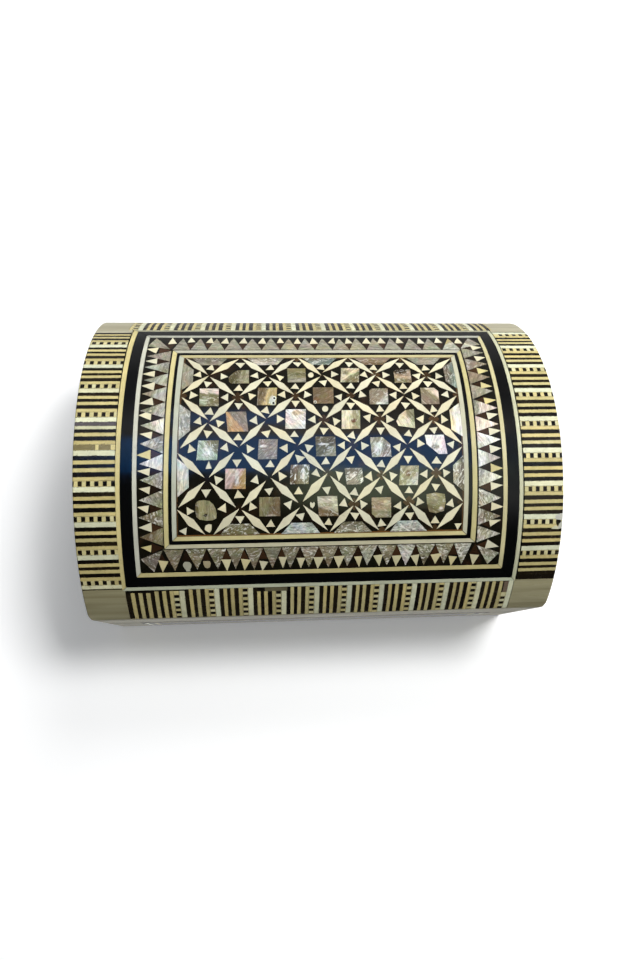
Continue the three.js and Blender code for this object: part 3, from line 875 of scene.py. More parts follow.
# Small bone triangles between the squares and the lattice's crossings: place, direction in degrees,
# half of the base, height and lean of the tip
small = Inlay("bone_triangles")
TRIANGLES = [
    (-37.13, -26.57, -170, 1.51, 2.8, -0.1), (-17.13, -26.45, 177, 1.54, 2.7, -0.5), (0.47, -26.71, -167, 1.54, 3, -0.3), (18.64, -26.37, -172, 1.57, 2.8, -0.1),
    (36.76, -26.07, 173, 1.6, 2.8, 0), (-41.26, -23.36, 80, 1.5, 2.8, 0), (-32.77, -22.59, -89, 1.5, 2.6, -0.2), (-22.09, -22.85, 83, 1.54, 2.8, 0),
    (-27.26, -28.07, 1, 1.81, 2.7, 0.2), (-27.7, -17.31, -178, 1.68, 2.7, -0.2), (-13.77, -22.16, -113, 1.74, 2.2, -0.5), (-7.81, -28.43, 5, 1.73, 2.4, 0.5),
    (-8.71, -17.9, -175, 1.56, 2.5, 0), (4.74, -23.35, -85, 1.56, 2.7, 0.1), (15.06, -23.02, 75, 1.68, 2.5, -0.2), (10.3, -28.26, 8, 1.6, 2.7, 0.1),
    (10, -18.03, -176, 1.6, 2.6, -0.2), (22.42, -22.9, -88, 1.62, 2.7, 0.1), (33.45, -22.56, 109, 1.6, 2.8, 0.2), (27.98, -27.86, 6, 1.64, 2.7, 0),
    (28, -17.76, 177, 1.54, 2.7, -0.1), (40.84, -22.34, -81, 1.59, 2.7, 0), (-42.62, -14.53, -82, 1.64, 2.8, 0.3), (-31.92, -13.8, 91, 1.66, 2.6, 0.1),
    (-38.05, -19.3, 11, 1.54, 2.6, 0.1), (-37.09, -8.27, -176, 1.68, 2.8, -0.3), (-23.3, -14.14, -100, 1.54, 2.6, 0.1), (-13.05, -14.65, 85, 1.56, 2.7, -0.1),
    (-17.96, -19.4, -4, 1.65, 2.3, 0), (-18.72, -8.68, -166, 1.62, 2.7, -0.1), (-4.85, -14.58, -81, 1.52, 2.7, 0.2), (5.87, -13.59, 98, 1.46, 2.5, -0.1),
    (0.95, -19.59, -10, 1.59, 2.6, 0.1), (13.67, -14.51, -75, 1.63, 2.6, -0.2), (24.48, -14.25, 96, 1.59, 2.6, -0.1), (19.14, -19.12, -14, 1.62, 2.6, 0),
    (19.27, -8.83, 175, 1.48, 2.6, -0.1), (31.66, -13.89, -93, 1.59, 2.6, -0.1), (42.28, -14.46, 87, 1.56, 2.7, 0.2), (36.7, -18.96, 6, 1.79, 2.7, 0),
    (37.27, -8.61, 167, 1.48, 2.8, -0.2), (-40.63, -4.99, 81, 1.6, 2.6, 0.2), (-33.63, -4.27, -104, 1.47, 2.7, -0.1), (-22.5, -5.08, 84, 1.67, 2.7, 0),
    (-27.64, -10.54, 4, 1.49, 2.5, 0.1), (-27.77, 0.84, -178, 1.64, 2.5, -0.1), (-14.13, -5.52, -89, 1.6, 2.7, 0), (-3.32, -5.21, 87, 1.51, 2.7, 0),
    (-8.77, -11.29, 2, 1.52, 2.6, 0), (-9.47, 0.03, -179, 1.53, 2.2, 0), (4.4, -4.52, -98, 1.65, 2.5, 0), (14.96, -5.66, 101, 1.69, 2.6, -0.2),
    (9.56, -10.37, 5, 1.62, 2.6, 0.1), (9.38, 0.47, -164, 1.53, 2.6, -0.1), (22.14, -5.16, -87, 1.67, 2.8, -0.2), (32.82, -5.16, 99, 1.64, 2.6, 0.2),
    (28.09, -10.32, 7, 1.66, 2.5, 0), (28.16, 0.1, -169, 1.5, 2.4, -0.1), (40.55, -4.94, -86, 1.75, 2.5, -0.2), (-42.69, 4.49, -80, 1.62, 2.6, -0.2),
    (-31.97, 4.18, 80, 1.59, 2.6, 0), (-37.57, -0.62, 10, 1.58, 2.7, 0.1), (-37.29, 10.07, 176, 1.05, 2.7, -0.3), (-24, 4.62, -94, 1.57, 2.6, -0.1),
    (-12.72, 4.63, 90, 1.62, 2.8, -0.2), (-18.58, -0.42, -11, 1.69, 2.6, 0.1), (-17.57, 9.88, -180, 1.56, 2.4, -0.2), (-4.83, 4.44, -108, 1.53, 2.7, 0.1),
    (6.06, 3.88, 90, 1.49, 2.5, -0.1), (0.35, -1.27, 4, 1.58, 2.6, -0.2), (0.42, 9.14, 177, 1.52, 2.5, -0.3), (13.32, 4.09, -92, 1.54, 2.7, 0.1),
    (24.33, 4.63, 102, 1.54, 2.6, 0.1), (19.07, -1.16, 1, 1.53, 2.7, -0.1), (18.7, 10.27, -172, 1.58, 2.6, -0.1), (31.94, 3.48, -85, 1.6, 2.7, -0.1),
    (42.31, 3.91, 102, 1.45, 2.5, 0.1), (36.91, -1.11, -8, 1.57, 2.5, -0.2), (37.09, 9.39, -178, 1.79, 2.6, 0), (-34.22, 14.61, -100, 1.62, 2.8, 0),
    (-22.41, 14.8, 80, 1.66, 2.7, 0.2), (-28.12, 9.07, -0, 1.59, 2.6, -0.1), (-27.68, 19.53, 176, 1.73, 2.8, 0.2), (-13.77, 13.62, -95, 1.66, 2.8, -0.3),
    (-2.71, 13.09, 67, 1.62, 2.4, -0.5), (-7.97, 8.08, 16, 1.83, 2.7, -0.1), (-8.51, 18.72, 180, 1.57, 2.6, -0.1), (4.94, 13.76, -106, 1.81, 2.3, 0.5),
    (14.65, 14.27, 83, 1.77, 2.6, -0.1), (8.74, 8.54, -10, 1.54, 2.6, 0), (9.71, 19.28, -170, 1.63, 2.7, 0), (22.46, 14.16, -100, 1.68, 2.6, 0.1),
    (32.97, 13.63, 93, 1.56, 2.7, 0.2), (27.63, 8.62, 2, 1.56, 2.7, 0), (27.74, 19.03, -177, 1.52, 2.4, 0.1), (40.1, 13.44, -95, 1.47, 2.5, 0.1),
    (-43.44, 24.47, -91, 1.43, 2.5, -0.1), (-32.88, 23.73, 87, 1.64, 2.9, 0.2), (-38.08, 18.61, -0, 1.68, 2.8, -0.1), (-23.43, 23.43, -82, 1.58, 2.7, -0.1),
    (-11.82, 22.87, 103, 1.63, 2.7, 0.1), (-17.97, 18.43, -7, 1.54, 2.4, -0.1), (-17.71, 29.26, -180, 1.61, 2.6, -0.2), (6.07, 22.83, 72, 1.64, 2.7, 0.2),
    (0.65, 18.4, -5, 1.54, 2.7, 0.2), (1.17, 29.02, -174, 1.42, 2.5, 0), (12.56, 23.23, -97, 1.64, 2.5, -0.1), (24.17, 23.93, 88, 1.5, 2.7, 0.2),
    (18.05, 18.52, -13, 1.59, 2.6, 0), (18.65, 29.71, 172, 1.56, 2.8, 0.1), (31.19, 22.84, -79, 1.59, 2.7, 0.1), (41.56, 23.54, 77, 1.57, 2.6, 0),
    (36.54, 17.88, 6, 1.59, 2.5, 0.1), (36.47, 29.12, 180, 1.67, 2.7, 0), (-27.48, 27.36, 0, 1.59, 2.6, 0.1), (-7.94, 26.92, -10, 1.65, 2.6, 0.3),
    (9.72, 26.94, 5, 1.66, 2.6, 0.4), (27.92, 27.25, -3, 1.65, 2.6, 0.2),
]


def bone_triangle(inlay, x, s, turn, half, high, lean, tint):
    inlay.add(turned([(-half, -0.36 * high), (half, -0.36 * high), (lean, 0.64 * high)], (x, s), math.radians(turn)), 0.05, -0.5, tint, tilt=0.008)


for tri in TRIANGLES:
    x, s, turn, half, high, lean = tri
    bone_triangle(small, x, s, turn, 0.94 * half, 0.95 * high, lean, vary(CREAM, 0.07))
# rounded pieces that stand in for a triangle
for rounded in (
    disc((-3.2, -23.0), 0.95, 1.2, 0.2),
    disc((1.0, -9.1), 1.02, 1.12, 0.2),
    [(-4.85, 22.7), (-4.6, 22.2), (-4.0, 22.65), (-3.5, 22.2), (-3.2, 22.7), (-3.4, 23.6), (-4.0, 24.3), (-4.7, 23.8)],
    [(-38.75, 30.1), (-38.45, 29.2), (-37.5, 28.85), (-36.6, 29.0), (-36.65, 30.7), (-37.25, 31.75), (-38.1, 31.25), (-38.8, 30.7)],
):
    small.add(rounded, 0.05, -0.5, vary(CREAM, 0.05), tilt=0.006)
small.add([(-47.0, 30.9), (-44.5, 29.8), (-44.9, 32.4)], 0.05, -0.5, vary(CREAM, 0.05))
small.add([(43.0, 30.3), (45.4, 30.3), (44.2, 32.5)], 0.05, -0.5, vary(CREAM, 0.05))
small.build(BONE, "bone")

# Two holes and a small ring in the shell, and cracks in one rhombus
rims = Inlay("shell_flaw_rims")
for at, r in (((-15.8, -13.3), 0.72), ((-16.1, -11.4), 0.75), ((-2.2, -11.7), 0.55)):
    rims.add(disc(at, r, r * 1.05), 0.068, -0.2, SHELL["white"])
rims.build(PEARL, "pearl")
holes = Inlay("shell_holes")
for at, r in (((-15.8, -13.3), 0.36), ((-16.1, -11.4), 0.40), ((-2.25, -11.65), 0.27)):
    holes.add(disc(at, r, r * 1.1), 0.074, -0.3, INK)
for a, b in (((11.7, -12.2), (16.3, -9.6)), ((13.2, -12.2), (16.9, -9.9))):
    holes.add([a, ((a[0] + b[0]) / 2 + 0.10, (a[1] + b[1]) / 2 - 0.12), b, ((a[0] + b[0]) / 2 - 0.05, (a[1] + b[1]) / 2 + 0.12)], 0.056, -0.3, INK)
holes.build(GROUND, "dark_ground")

# ------------------------------------------------------------------ the tooth border
TEETH = {
    "back": (
        [-47.7, -41.8, -35.8, -29.8, -23.2, -16.5, -10.3, -4.2, 2.0, 8.3, 14.3, 20.6, 26.7, 34.0, 40.9, 48.3],
        [-51.7, -45.0, -38.4, -33.0, -26.6, -20.0, -13.5, -7.3, -1.3, 6.0, 11.2, 18.0, 23.3, 30.0, 37.7, 44.3, 51.8],
    ),
    "front": (
        [-49.2, -41.9, -35.0, -29.2, -23.2, -17.2, -11.2, -5.0, 1.1, 7.8, 14.4, 20.8, 27.2, 33.6, 40.2, 46.2],
        [-53.5, -45.0, -39.0, -32.4, -26.7, -20.5, -14.0, -8.0, -2.0, 4.8, 11.2, 17.8, 24.0, 30.5, 37.2, 43.0, 50.5],
    ),
    "left": (
        [-32.7, -27.0, -21.0, -15.3, -8.9, -3.6, 2.8, 9.0, 14.3, 20.7, 26.4, 32.8],
        [-36.2, -30.0, -24.0, -18.5, -12.2, -6.6, 0.2, 6.2, 11.6, 17.3, 23.6, 29.8, 36.6],
    ),
    "right": (
        [-34.5, -28.0, -21.7, -15.6, -9.2, -3.2, 2.5, 8.7, 14.8, 22.0, 28.2, 34.0],
        [-38.0, -31.3, -24.7, -18.3, -11.7, -6.3, -0.3, 5.5, 12.0, 18.2, 25.0, 30.3, 38.0],
    ),
}
SIDE_LINES = {  # inner and outer line of the border, at t along the side
    "back": lambda t: (-36.2, -45.3),
    "front": lambda t: (37.0, 45.6),
    "left": lambda t: (-51.35 - 0.015 * t, -59.95 - 0.0033 * t),
    "right": lambda t: (51.0 - 0.011 * t, 59.65 - 0.0055 * t),
}
# Shades of the teeth and their share of painted glints, cycled through on each side, with the few that stand out; the
# white and blush teeth in the middle of the left and right sides are painted highlights
TOOTH_LOOKS = {
    "back": [("grey", "grey", 0.05), ("grey", "stone_pale", 0.1), ("grey", "grey", 0.15), ("grey", "grey", 0.1)],
    "front": [("stone", "stone", 0.6), ("stone", "stone_pale", 1.0), ("stone_pale", "stone", 0.9), ("stone", "tan", 0.3), ("stone", "silver", 1.0)],
    "left": [("silver", "grey", 0.1), ("grey", "silver", 0.4), ("silver", "grey", 0.2)],
    "right": [("grey", "grey", 0.1), ("tan", "grey", 0.3), ("grey", "silver", 0.2)],
}
STANDOUT_TONES_AND_HIGHLIGHTS = {
    ("left", 0): ("grey", "grey", 0.1),
    ("left", 4): ("silver", "grey", 0.4),
    # left teeth 5 and 7, white: painted highlights
    ("left", 5): ("white", "silver", 0.4),
    ("left", 6): ("grey", "silver", 0.6),
    ("left", 7): ("white", "white", 0.3),
    ("left", 8): ("grey", "stone_pale", 0.8),
    ("left", 9): ("stone_pale", "silver", 0.9),
    ("left", 10): ("stone_pale", "stone", 0.7),
    ("left", 11): ("stone", "brown", 0.1),
    ("right", 2): ("tan", "tan", 0.0),
    # right teeth 4 to 8, in the middle of the side: painted highlights
    ("right", 4): ("blush", "grey", 0.3),
    ("right", 5): ("blush", "blush", 0.3),
    ("right", 6): ("white", "silver", 0.3),
    ("right", 7): ("silver", "white", 0.4),
    ("right", 8): ("white", "silver", 0.5),
    ("right", 9): ("silver", "stone_pale", 1.0),
    ("right", 10): ("stone", "silver", 1.0),
    ("right", 11): ("silver", "silver", 0.8),
    ("front", 3): ("stone", "stone", 0.4),
    ("front", 4): ("stone", "tan", 0.5),
    ("front", 8): ("stone_pale", "tan", 0.9),
    ("front", 10): ("stone_pale", "silver", 1.0),
    ("front", 12): ("silver", "white", 1.0),
    ("front", 13): ("stone_pale", "stone", 1.0),
    ("front", 11): ("stone_pale", "stone", 0.8),
    ("front", 14): ("stone_pale", "stone", 1.0),
    ("front", 15): ("silver", "stone_pale", 1.0),
    ("back", 15): ("gold", "silver", 0.4),
}
# Small bone teeth of each side: place, direction in degrees, half of the base, height and lean of the tip
BONE_TEETH = {
    "back": [
        (-51.33, -42.18, 175, 1.51, 4.7, 0), (-44.88, -42.97, 171, 1.37, 3.8, -0.2), (-38.06, -42.63, -176, 1.35, 4.2, 0), (-32.69, -42.34, -174, 1.44, 4.4, 0),
        (-26.3, -42.41, -178, 1.46, 4.4, -0.1), (-19.6, -42.31, -175, 1.49, 4.7, 0), (-13.24, -42.6, 177, 1.31, 4.1, -0.1), (-7.09, -42.16, -180, 1.33, 4.3, -0.1),
        (-1.35, -42.15, 177, 1.5, 4.6, 0), (5.53, -42.38, -166, 1.34, 4.5, 0), (11.22, -42.27, 174, 1.41, 4.4, 0), (17.9, -42.32, -176, 1.58, 4.6, -0.1),
        (23.23, -42.49, 179, 1.57, 4.5, -0.2), (29.87, -42.58, 177, 1.48, 4.4, 0), (37.64, -42.3, 177, 1.4, 4.5, 0), (44.29, -42.68, -177, 1.47, 4.2, 0.1),
        (51.64, -42.37, -176, 1.51, 4.3, -0.2),
    ],
    "front": [
        (-52.86, 42.7, 9, 1.65, 4.3, 0.2), (-32.27, 42.77, 1, 1.62, 4.4, 0.2), (-26.13, 42.8, 9, 1.69, 4.2, 0.1), (-20.3, 43.48, 9, 1.46, 3.6, 0.1),
        (-13.93, 42.26, 4, 1.4, 4.2, 0.3), (-7.88, 42.67, 2, 1.41, 4, 0.1), (-1.96, 42.73, 0, 1.77, 4.4, -0.3), (4.83, 42.53, -2, 1.86, 4.5, -0.2),
        (11.21, 42.67, -2, 1.37, 4.1, 0.3), (17.99, 42.43, -7, 1.61, 4.4, 0.1), (24.15, 42.68, -1, 1.73, 4.1, -0.2), (30.5, 42.7, -10, 1.53, 4.2, 0.1),
        (37.61, 42.29, -8, 1.87, 3.8, -0.6), (43.03, 43.32, 7, 1.49, 3.7, 0), (50.41, 43.02, 6, 1.65, 4.1, 0.2),
    ],
    "left": [
        (-57.32, -36.38, 99, 1.85, 3.8, -0.3), (-56.85, -30.1, 89, 1.55, 3.9, 0), (-57.19, -23.82, 89, 1.43, 4.1, 0), (-56.9, -18.58, 95, 1.8, 4.2, 0.2),
        (-57.09, -12.15, 80, 1.54, 4.5, 0.1), (-57.2, -7.29, 91, 1.87, 4, 0.1), (-56.7, -0.3, 96, 1.29, 3.9, -0.2), (-57.14, 6.19, 90, 1.66, 4.4, 0.1),
        (-57.23, 11.63, 96, 1.29, 4, 0), (-57.09, 17.43, 99, 1.27, 3.5, -0.1), (-57.68, 23.42, 101, 1.33, 3.5, -0.1), (-57.11, 29.55, 90, 1.59, 4.1, 0),
        (-57.32, 36.6, 97, 1.26, 3.3, -0.1),
    ],
    "right": [
        (57, -37.78, -95, 1.6, 3.8, -0.1), (57, -31.25, -99, 1.54, 3.8, 0.2), (56.48, -24.63, -90, 1.52, 3.8, 0.1), (56.51, -17.96, -83, 1.39, 3.9, 0),
        (56.81, -11.82, -95, 1.32, 4.2, 0), (56.94, -6.14, -100, 1.36, 4, 0.1), (56.99, -0.39, -92, 1.39, 4.2, 0.2), (56.74, 5.61, -94, 1.45, 4, 0),
        (56.73, 12.03, -90, 1.48, 4.1, -0.1), (56.57, 17.97, -93, 1.38, 4.1, 0.1), (56.76, 24.86, -87, 1.45, 4.1, 0.1), (56.31, 30.18, -103, 1.14, 3.9, 0.3),
        (55.83, 38.15, -77, 1.7, 4.5, 0),
    ],
}

teeth = Inlay("pearl_teeth")
bones = Inlay("bone_teeth")
wedges = Inlay("brown_wedges")
for side, (pearls, small_at) in TEETH.items():
    flat = side in ("back", "front")

    def at(t, d):
        """t along the side, d out from the inner line of the border as a share of its width"""
        a, b = SIDE_LINES[side](t)
        e = a + (b - a) * d
        return (t, e) if flat else (e, t)

    n = len(pearls)
    for i, p in enumerate(pearls):
        lo = (pearls[i - 1] + p) / 2 if i else p - 3.1
        hi = (pearls[i + 1] + p) / 2 if i < n - 1 else p + 3.1
        lo, hi = max(lo, p - 3.4) + 0.08, min(hi, p + 3.4) - 0.08
        top = 0.93 + rng.uniform(-0.05, 0.03)
        poly = [at(lo, 0.035), at(hi, 0.035), at(p + rng.uniform(-0.25, 0.25), top)]
        a, b, glint = STANDOUT_TONES_AND_HIGHLIGHTS.get((side, i)) or TOOTH_LOOKS[side][(i * 7 + 3) % len(TOOTH_LOOKS[side])]
        grain = rng.uniform(-0.5, 0.5) + (0 if flat else math.pi / 2)
        shell_piece(teeth, poly, 0.05, -0.6, (a, b, grain, rng.uniform(-1.5, 1.5), 2.0, None, glint), 0.02)
    for p in small_at:
        wedges.add([at(p - 1.75, 0.50), at(p + 1.75, 0.50), at(p, 0.05)], 0.015, -0.4, between((0.075, 0.034, 0.014), INK, rng.uniform(0.1, 0.8)))
    for tooth in BONE_TEETH[side]:
        tone = rng.random() if side != "back" else 1.0
        tint = between(CREAM, PALE_YELLOW, 0.25 + 0.6 * tone) if side == "front" else PALE_YELLOW if tone < 0.3 else CREAM
        bone_triangle(bones, *tooth, vary(tint, 0.07))
# two rounded pieces stand in for teeth at the front
bones.add(
    [(-45.8, 41.7), (-44.2, 41.85), (-43.6, 42.7), (-43.75, 43.7), (-44.15, 44.5), (-44.15, 45.25), (-45.45, 45.3), (-45.65, 44.6), (-46.2, 43.7), (-46.4, 42.9), (-46.2, 42.2)],
    0.05, -0.5, (0.46, 0.45, 0.335),
)
bones.add([(-39.8, 41.6), (-37.65, 41.65), (-37.4, 42.5), (-37.7, 43.95), (-38.6, 44.3), (-39.3, 44.0), (-39.75, 42.8)], 0.05, -0.5, (0.45, 0.385, 0.235))
CORNER_TEETH = [
    [(-57.2, -44.7), (-59.5, -38.8), (-51.8, -37.0)],
    [(56.0, -44.8), (59.3, -39.9), (51.8, -37.4)],
    [(59.0, 41.0), (55.4, 45.3), (51.2, 38.2)],
    [(-59.8, 40.4), (-55.8, 45.2), (-52.6, 37.4)],
]
for c, (a, b, glint) in zip(CORNER_TEETH, (("grey", "grey", 0.1), ("grey", "silver", 0.1), ("grey", "silver", 0.8), ("mauve", "ash", 0.6))):
    shell_piece(teeth, c, 0.05, -0.6, (a, b, 0.7, 0.4, 2.0, None, glint), 0.02)
teeth.build(PEARL, "pearl")
bones.build(BONE, "bone")
wedges.build(REDWOOD, "dark_ground")

# ------------------------------------------------------------------ marquetry bands
# One repeat of the band, from the row of squares: kind and width of each stick
REPEAT = [("dots", 1.9), ("white", 1.75), ("black", 1.3), ("yellow", 1.25), ("black", 1.1), ("yellow", 1.3), ("black", 1.4), ("yellow", 1.25)]
PITCH = sum(w for _, w in REPEAT)
STICK_TINT = {"white": WHITE, "yellow": YELLOW, "black": INK, "dots": PALE_YELLOW}
LINE = 0.04  # glue line between sticks
DOT_PITCH, DOT = 2.56, 1.3


def band_sticks(first, low, high, backwards):
    """(kind, start, end, number of the repeat) of the sticks between low and high, with rows of
    squares at first + n repeats."""
    out = []
    n0 = math.floor((low - first) / PITCH) - 1
    for n in range(n0, n0 + 40):
        t = first + n * PITCH
        if t - PITCH > high:
            break
        e = -0.95
        for kind, w in REPEAT:
            a, b = (t - e - w, t - e) if backwards else (t + e, t + e + w)
            e += w
            a, b = max(a, low), min(b, high)
            if b - a > 0.25:
                out.append((kind, a, b, n))
    return out


def lay_band(name, sticks, across, flat, replaces, first_dots, starts=None, frayed=None, odd=None, bars=None):
    """flat: the sticks follow one another along x and run along the arc. first_dots gives where
    the squares of each repeat begin, starts where a stick begins, frayed how frayed it is, odd
    the tint of a stick that isn't like the others, bars what stands in a row in place of squares."""
    s = Inlay(name)
    lo, hi = min(across), max(across)

    def quad(t0, t1, c0, c1):
        return [(t0, c0), (t1, c0), (t1, c1), (t0, c1)] if flat else [(c0, t0), (c1, t0), (c1, t1), (c0, t1)]

    def lay(t0, t1, c0, c1, top, tint, into, amount, skew=0.0):
        q = quad(t0, t1, c0, c1)
        if flat:
            q = [(p[0] + (skew if i in (0, 1) else -skew), p[1]) for i, p in enumerate(q)]
        else:
            q = [(p[0], p[1] + (skew if i in (0, 3) else -skew)) for i, p in enumerate(q)]
        half = (t1 - t0) / 2
        spot = (0, 0, half, 1e6, amount, into) if flat else (0, 0, 1e6, half, amount, into)
        s.add(q, top, -VENEER, tint, split=(math.pi / 2 if flat else 0.0, 1e3, 1.0), spot=spot, tilt=0.008)

    # a dark bed under the sticks shows wherever one is short or missing
    s.add(quad(min(k[1] for k in sticks), max(k[2] for k in sticks), lo, hi), -0.05, -VENEER, INK)
    for kind, t0, t1, n in sticks:
        t0, t1 = t0 + LINE, t1 - LINE
        mid = (t0 + t1) / 2
        a0 = max(lo, starts(mid)) if starts else lo
        a1 = hi
        top = 0.02 + rng.uniform(-0.012, 0.018)
        amount = frayed(mid) if frayed else 0.5
        skew = rng.uniform(-0.05, 0.05)
        if kind == "black":
            tint = vary(INK if rng.random() < 0.5 else between(INK, TAR, 0.5), 0.4)
            tint = (odd and odd(mid)) or tint
            lay(t0, t1, a0, a1, top - 0.03, tint, (0.15, 0.125, 0.055), amount * 0.8, skew)
        elif kind != "dots":
            tint = vary(STICK_TINT[kind], 0.10, 0.03)
            lay(t0, t1, a0, a1, top, (odd and odd(mid)) or tint, TAR, amount, skew)
        else:
            # a row of dark squares let into a yellow stick
            lay(t0, t1, a0, a1, top - 0.006, vary(PALE_YELLOW, 0.06, 0.03), TAR, amount * 0.6)
            if bars and n in bars:
                for b0, b1, tint in bars[n]:
                    lay(t0 + 0.1, t1 - 0.1, b0, b1, top, tint, TAR, 0.7)
                continue
            at = first_dots(n)
            edge = a0
            while at < a1 + DOT:
                b0, b1 = min(max(at - DOT / 2, a0), a1), min(at + DOT / 2, a1)
                if b0 - edge > 0.08 and rng.random() < 0.7:
                    lay(t0 + 0.12, t1 - 0.12, edge + 0.02, b0 - 0.02, top, vary(between(PALE_YELLOW, WHITE, 0.6) if rng.random() < 0.3 else PALE_YELLOW, 0.10, 0.04), TAR, amount * 0.4)
                if b1 - b0 > 0.12:
                    lay(t0 + 0.1, t1 - 0.1, b0, b1, top + 0.004, vary(INK, 0.4) if rng.random() < 0.7 else vary(TAR, 0.4), INK, 0.0)
                edge = max(b1, edge)
                at += DOT_PITCH + rng.uniform(-0.08, 0.08)
    return s.build(STICK, "marquetry", replaces)


# The black stick that closes a strip against the corner block is wider than the others
def closed(sticks, end, to):
    return [k for k in sticks if k[1] < end] + [("black", end, to, 0)]


LEFT_DOTS = [-78.4, -79.8, -78.8, -78.6, -78.9, -80.1, -79.4, -78.7, -79.7]
left = closed(band_sticks(-41.0, -49.6, 51.45, False), 51.4, 51.9)
BROWNED = (0.24, 0.195, 0.085)
# the rows of the left strip are not quite evenly laid: place and shift
LEFT_SHIFTS = [(-52.0, 0.0), (-41.0, 0.0), (-29.75, 0.45), (-18.5, -0.05), (-7.25, -0.42), (4.0, -0.48), (13.0, 0.0), (30.0, 0.0), (40.0, -0.15), (51.3, 0.0), (53.0, 0.0)]


def left_place(s):
    for (a, u), (b, v) in zip(LEFT_SHIFTS, LEFT_SHIFTS[1:]):
        if a <= s <= b:
            return s + u + (v - u) * (s - a) / (b - a)
    return s


left = [(k, left_place(a), left_place(b), n) for k, a, b, n in left]


def left_odd(s):
    """One black stick of the left strip is grey, and the one beside it pale."""
    if -5.0 < s < -3.75:
        return (0.105, 0.092, 0.098)
    if -3.75 < s < -2.45:
        return (0.66, 0.65, 0.43)
    return None


lay_band(
    "band_left_inlay", left, (-HALF_L, -66.75), False, ["band_left"], lambda n: LEFT_DOTS[n % 9], None,
    lambda s: 0.95 if -6 < s < 8 else 0.55, left_odd, {4: [(-HALF_L, -72.9, BROWNED), (-71.9, -68.1, BROWNED)]},
)
RIGHT_DOTS = [69.2, 67.5, 66.9, 67.1, 67.7, 66.8, 68.5, 68.2, 66.5]
right_strip = closed([(k, a - 0.011 * a, b - 0.011 * b, n) for k, a, b, n in band_sticks(-48.1, -51.16, 50.45, True)], 49.6, 52.1)
lay_band("band_right_inlay", right_strip, (66.55, HALF_L), False, ["band_right"], lambda n: RIGHT_DOTS[n % 9], None, lambda s: 0.85 if -8 < s < 4 else 0.5)

FRONT_DOTS = [55.5, 53.7, 53.5, 54.9, 53.6, 53.0, 54.0, 53.2, 54.1, 53.9, 60.4]
front = band_sticks(-49.4, -51.6, 65.9, False)
t = -66.0
for a, b in ((-64.4, -63.0), (-61.9, -60.5), (-59.4, -57.9), (-56.6, -55.2), (-54.1, -52.7)):
    front += [("black", t, a, 0), ("yellow", a, b, 0)]
    t = b
front.append(("black", t, -51.6, 0))


def front_start(x):
    """Some sticks stop short of the bone line."""
    if x < -57.5:
        return 53.7
    if x < -46.6:
        return 53.1
    if -22.6 < x < -12.3:
        return 54.3
    if 62.3 < x < 64.2:
        return 57.8
    return 52.6


def drift(x):
    """The sticks wander a little left of the middle."""
    u, v = min(max((x + 49.0) / 8.0, 0.0), 1.0), min(max((x + 10.0) / 35.0, 0.0), 1.0)
    return x + 0.33 * u * u * (3 - 2 * u) * (1 - v * v * (3 - 2 * v))


front = [(k, drift(a), drift(b), n) for k, a, b, n in front]
RIM_TOP = S_T + 0.35 * FIL  # below this the rim is plain wood
lay_band("band_front_inlay", front, (52.65, RIM_TOP), True, ["band_front"], lambda n: FRONT_DOTS[n % 11], front_start)
BACK_DOTS = lambda n: -RIM_TOP + 0.9 + (n * 0.7) % 1.4
lay_band("band_back_inlay", band_sticks(-54.77, -68.3, 67.3, False), (-RIM_TOP, -52.55), True, ["band_back"], BACK_DOTS)
for name, x0, x1, s0, s1 in (("front", -66.0, 65.9, RIM_TOP + 0.05, BAND_END), ("back", -68.3, 67.3, -BAND_END, -RIM_TOP - 0.05)):
    rim = Inlay("rim_" + name)
    rim.add([(x0, s0), (x1, s0), (x1, s1), (x0, s1)], 0.02, -VENEER, (0.5, 0.5, 0.5))
    # the back rim takes the paler copy of the khaki wood, a painted sheen
    rim.build(KHAKI if name == "front" else KHAKI_PAINTED_SHEEN, "corner_wood")

# Old fillings: a plain patch in the front band, a brown one near its right end, a chip at the right edge
patch = Inlay("front_band_patches")
patch.add([(-19.9, 52.65), (-12.4, 52.65), (-12.4, 54.25), (-19.9, 54.25)], 0.01, -VENEER, (0.17, 0.15, 0.085))
patch.add([(62.55, 52.9), (64.0, 52.9), (64.0, 57.7), (62.55, 57.7)], 0.01, -VENEER, (0.20, 0.145, 0.10))
patch.build(REDWOOD, "marquetry")
chip = Inlay("right_strip_chip")
chip.add([(77.4, 28.2), (79.1, 27.5), (79.9, 27.6), (79.9, 29.7), (79.5, 29.85), (77.8, 29.6), (77.3, 28.8)], 0.045, -0.5, (0.60, 0.60, 0.52))
chip.add([(76.2, 32.6), (77.6, 31.65), (78.5, 32.2), (78.6, 32.95), (76.3, 32.85)], 0.045, -0.5, (0.66, 0.65, 0.47))
chip.add([(78.5, 32.2), (78.9, 31.0), (79.6, 30.2), (79.9, 30.3), (79.9, 32.7), (78.6, 32.95)], 0.045, -0.5, (0.56, 0.56, 0.47))
chip.build(BONE, "marquetry")
dark_chip = Inlay("right_strip_chip_hole")
dark_chip.add([(77.65, 29.7), (79.5, 29.9), (79.5, 30.25), (78.8, 30.95), (78.45, 32.1), (77.9, 31.3), (77.6, 30.4)], 0.035, -0.5, INK)
dark_chip.build(GROUND, "dark_ground")

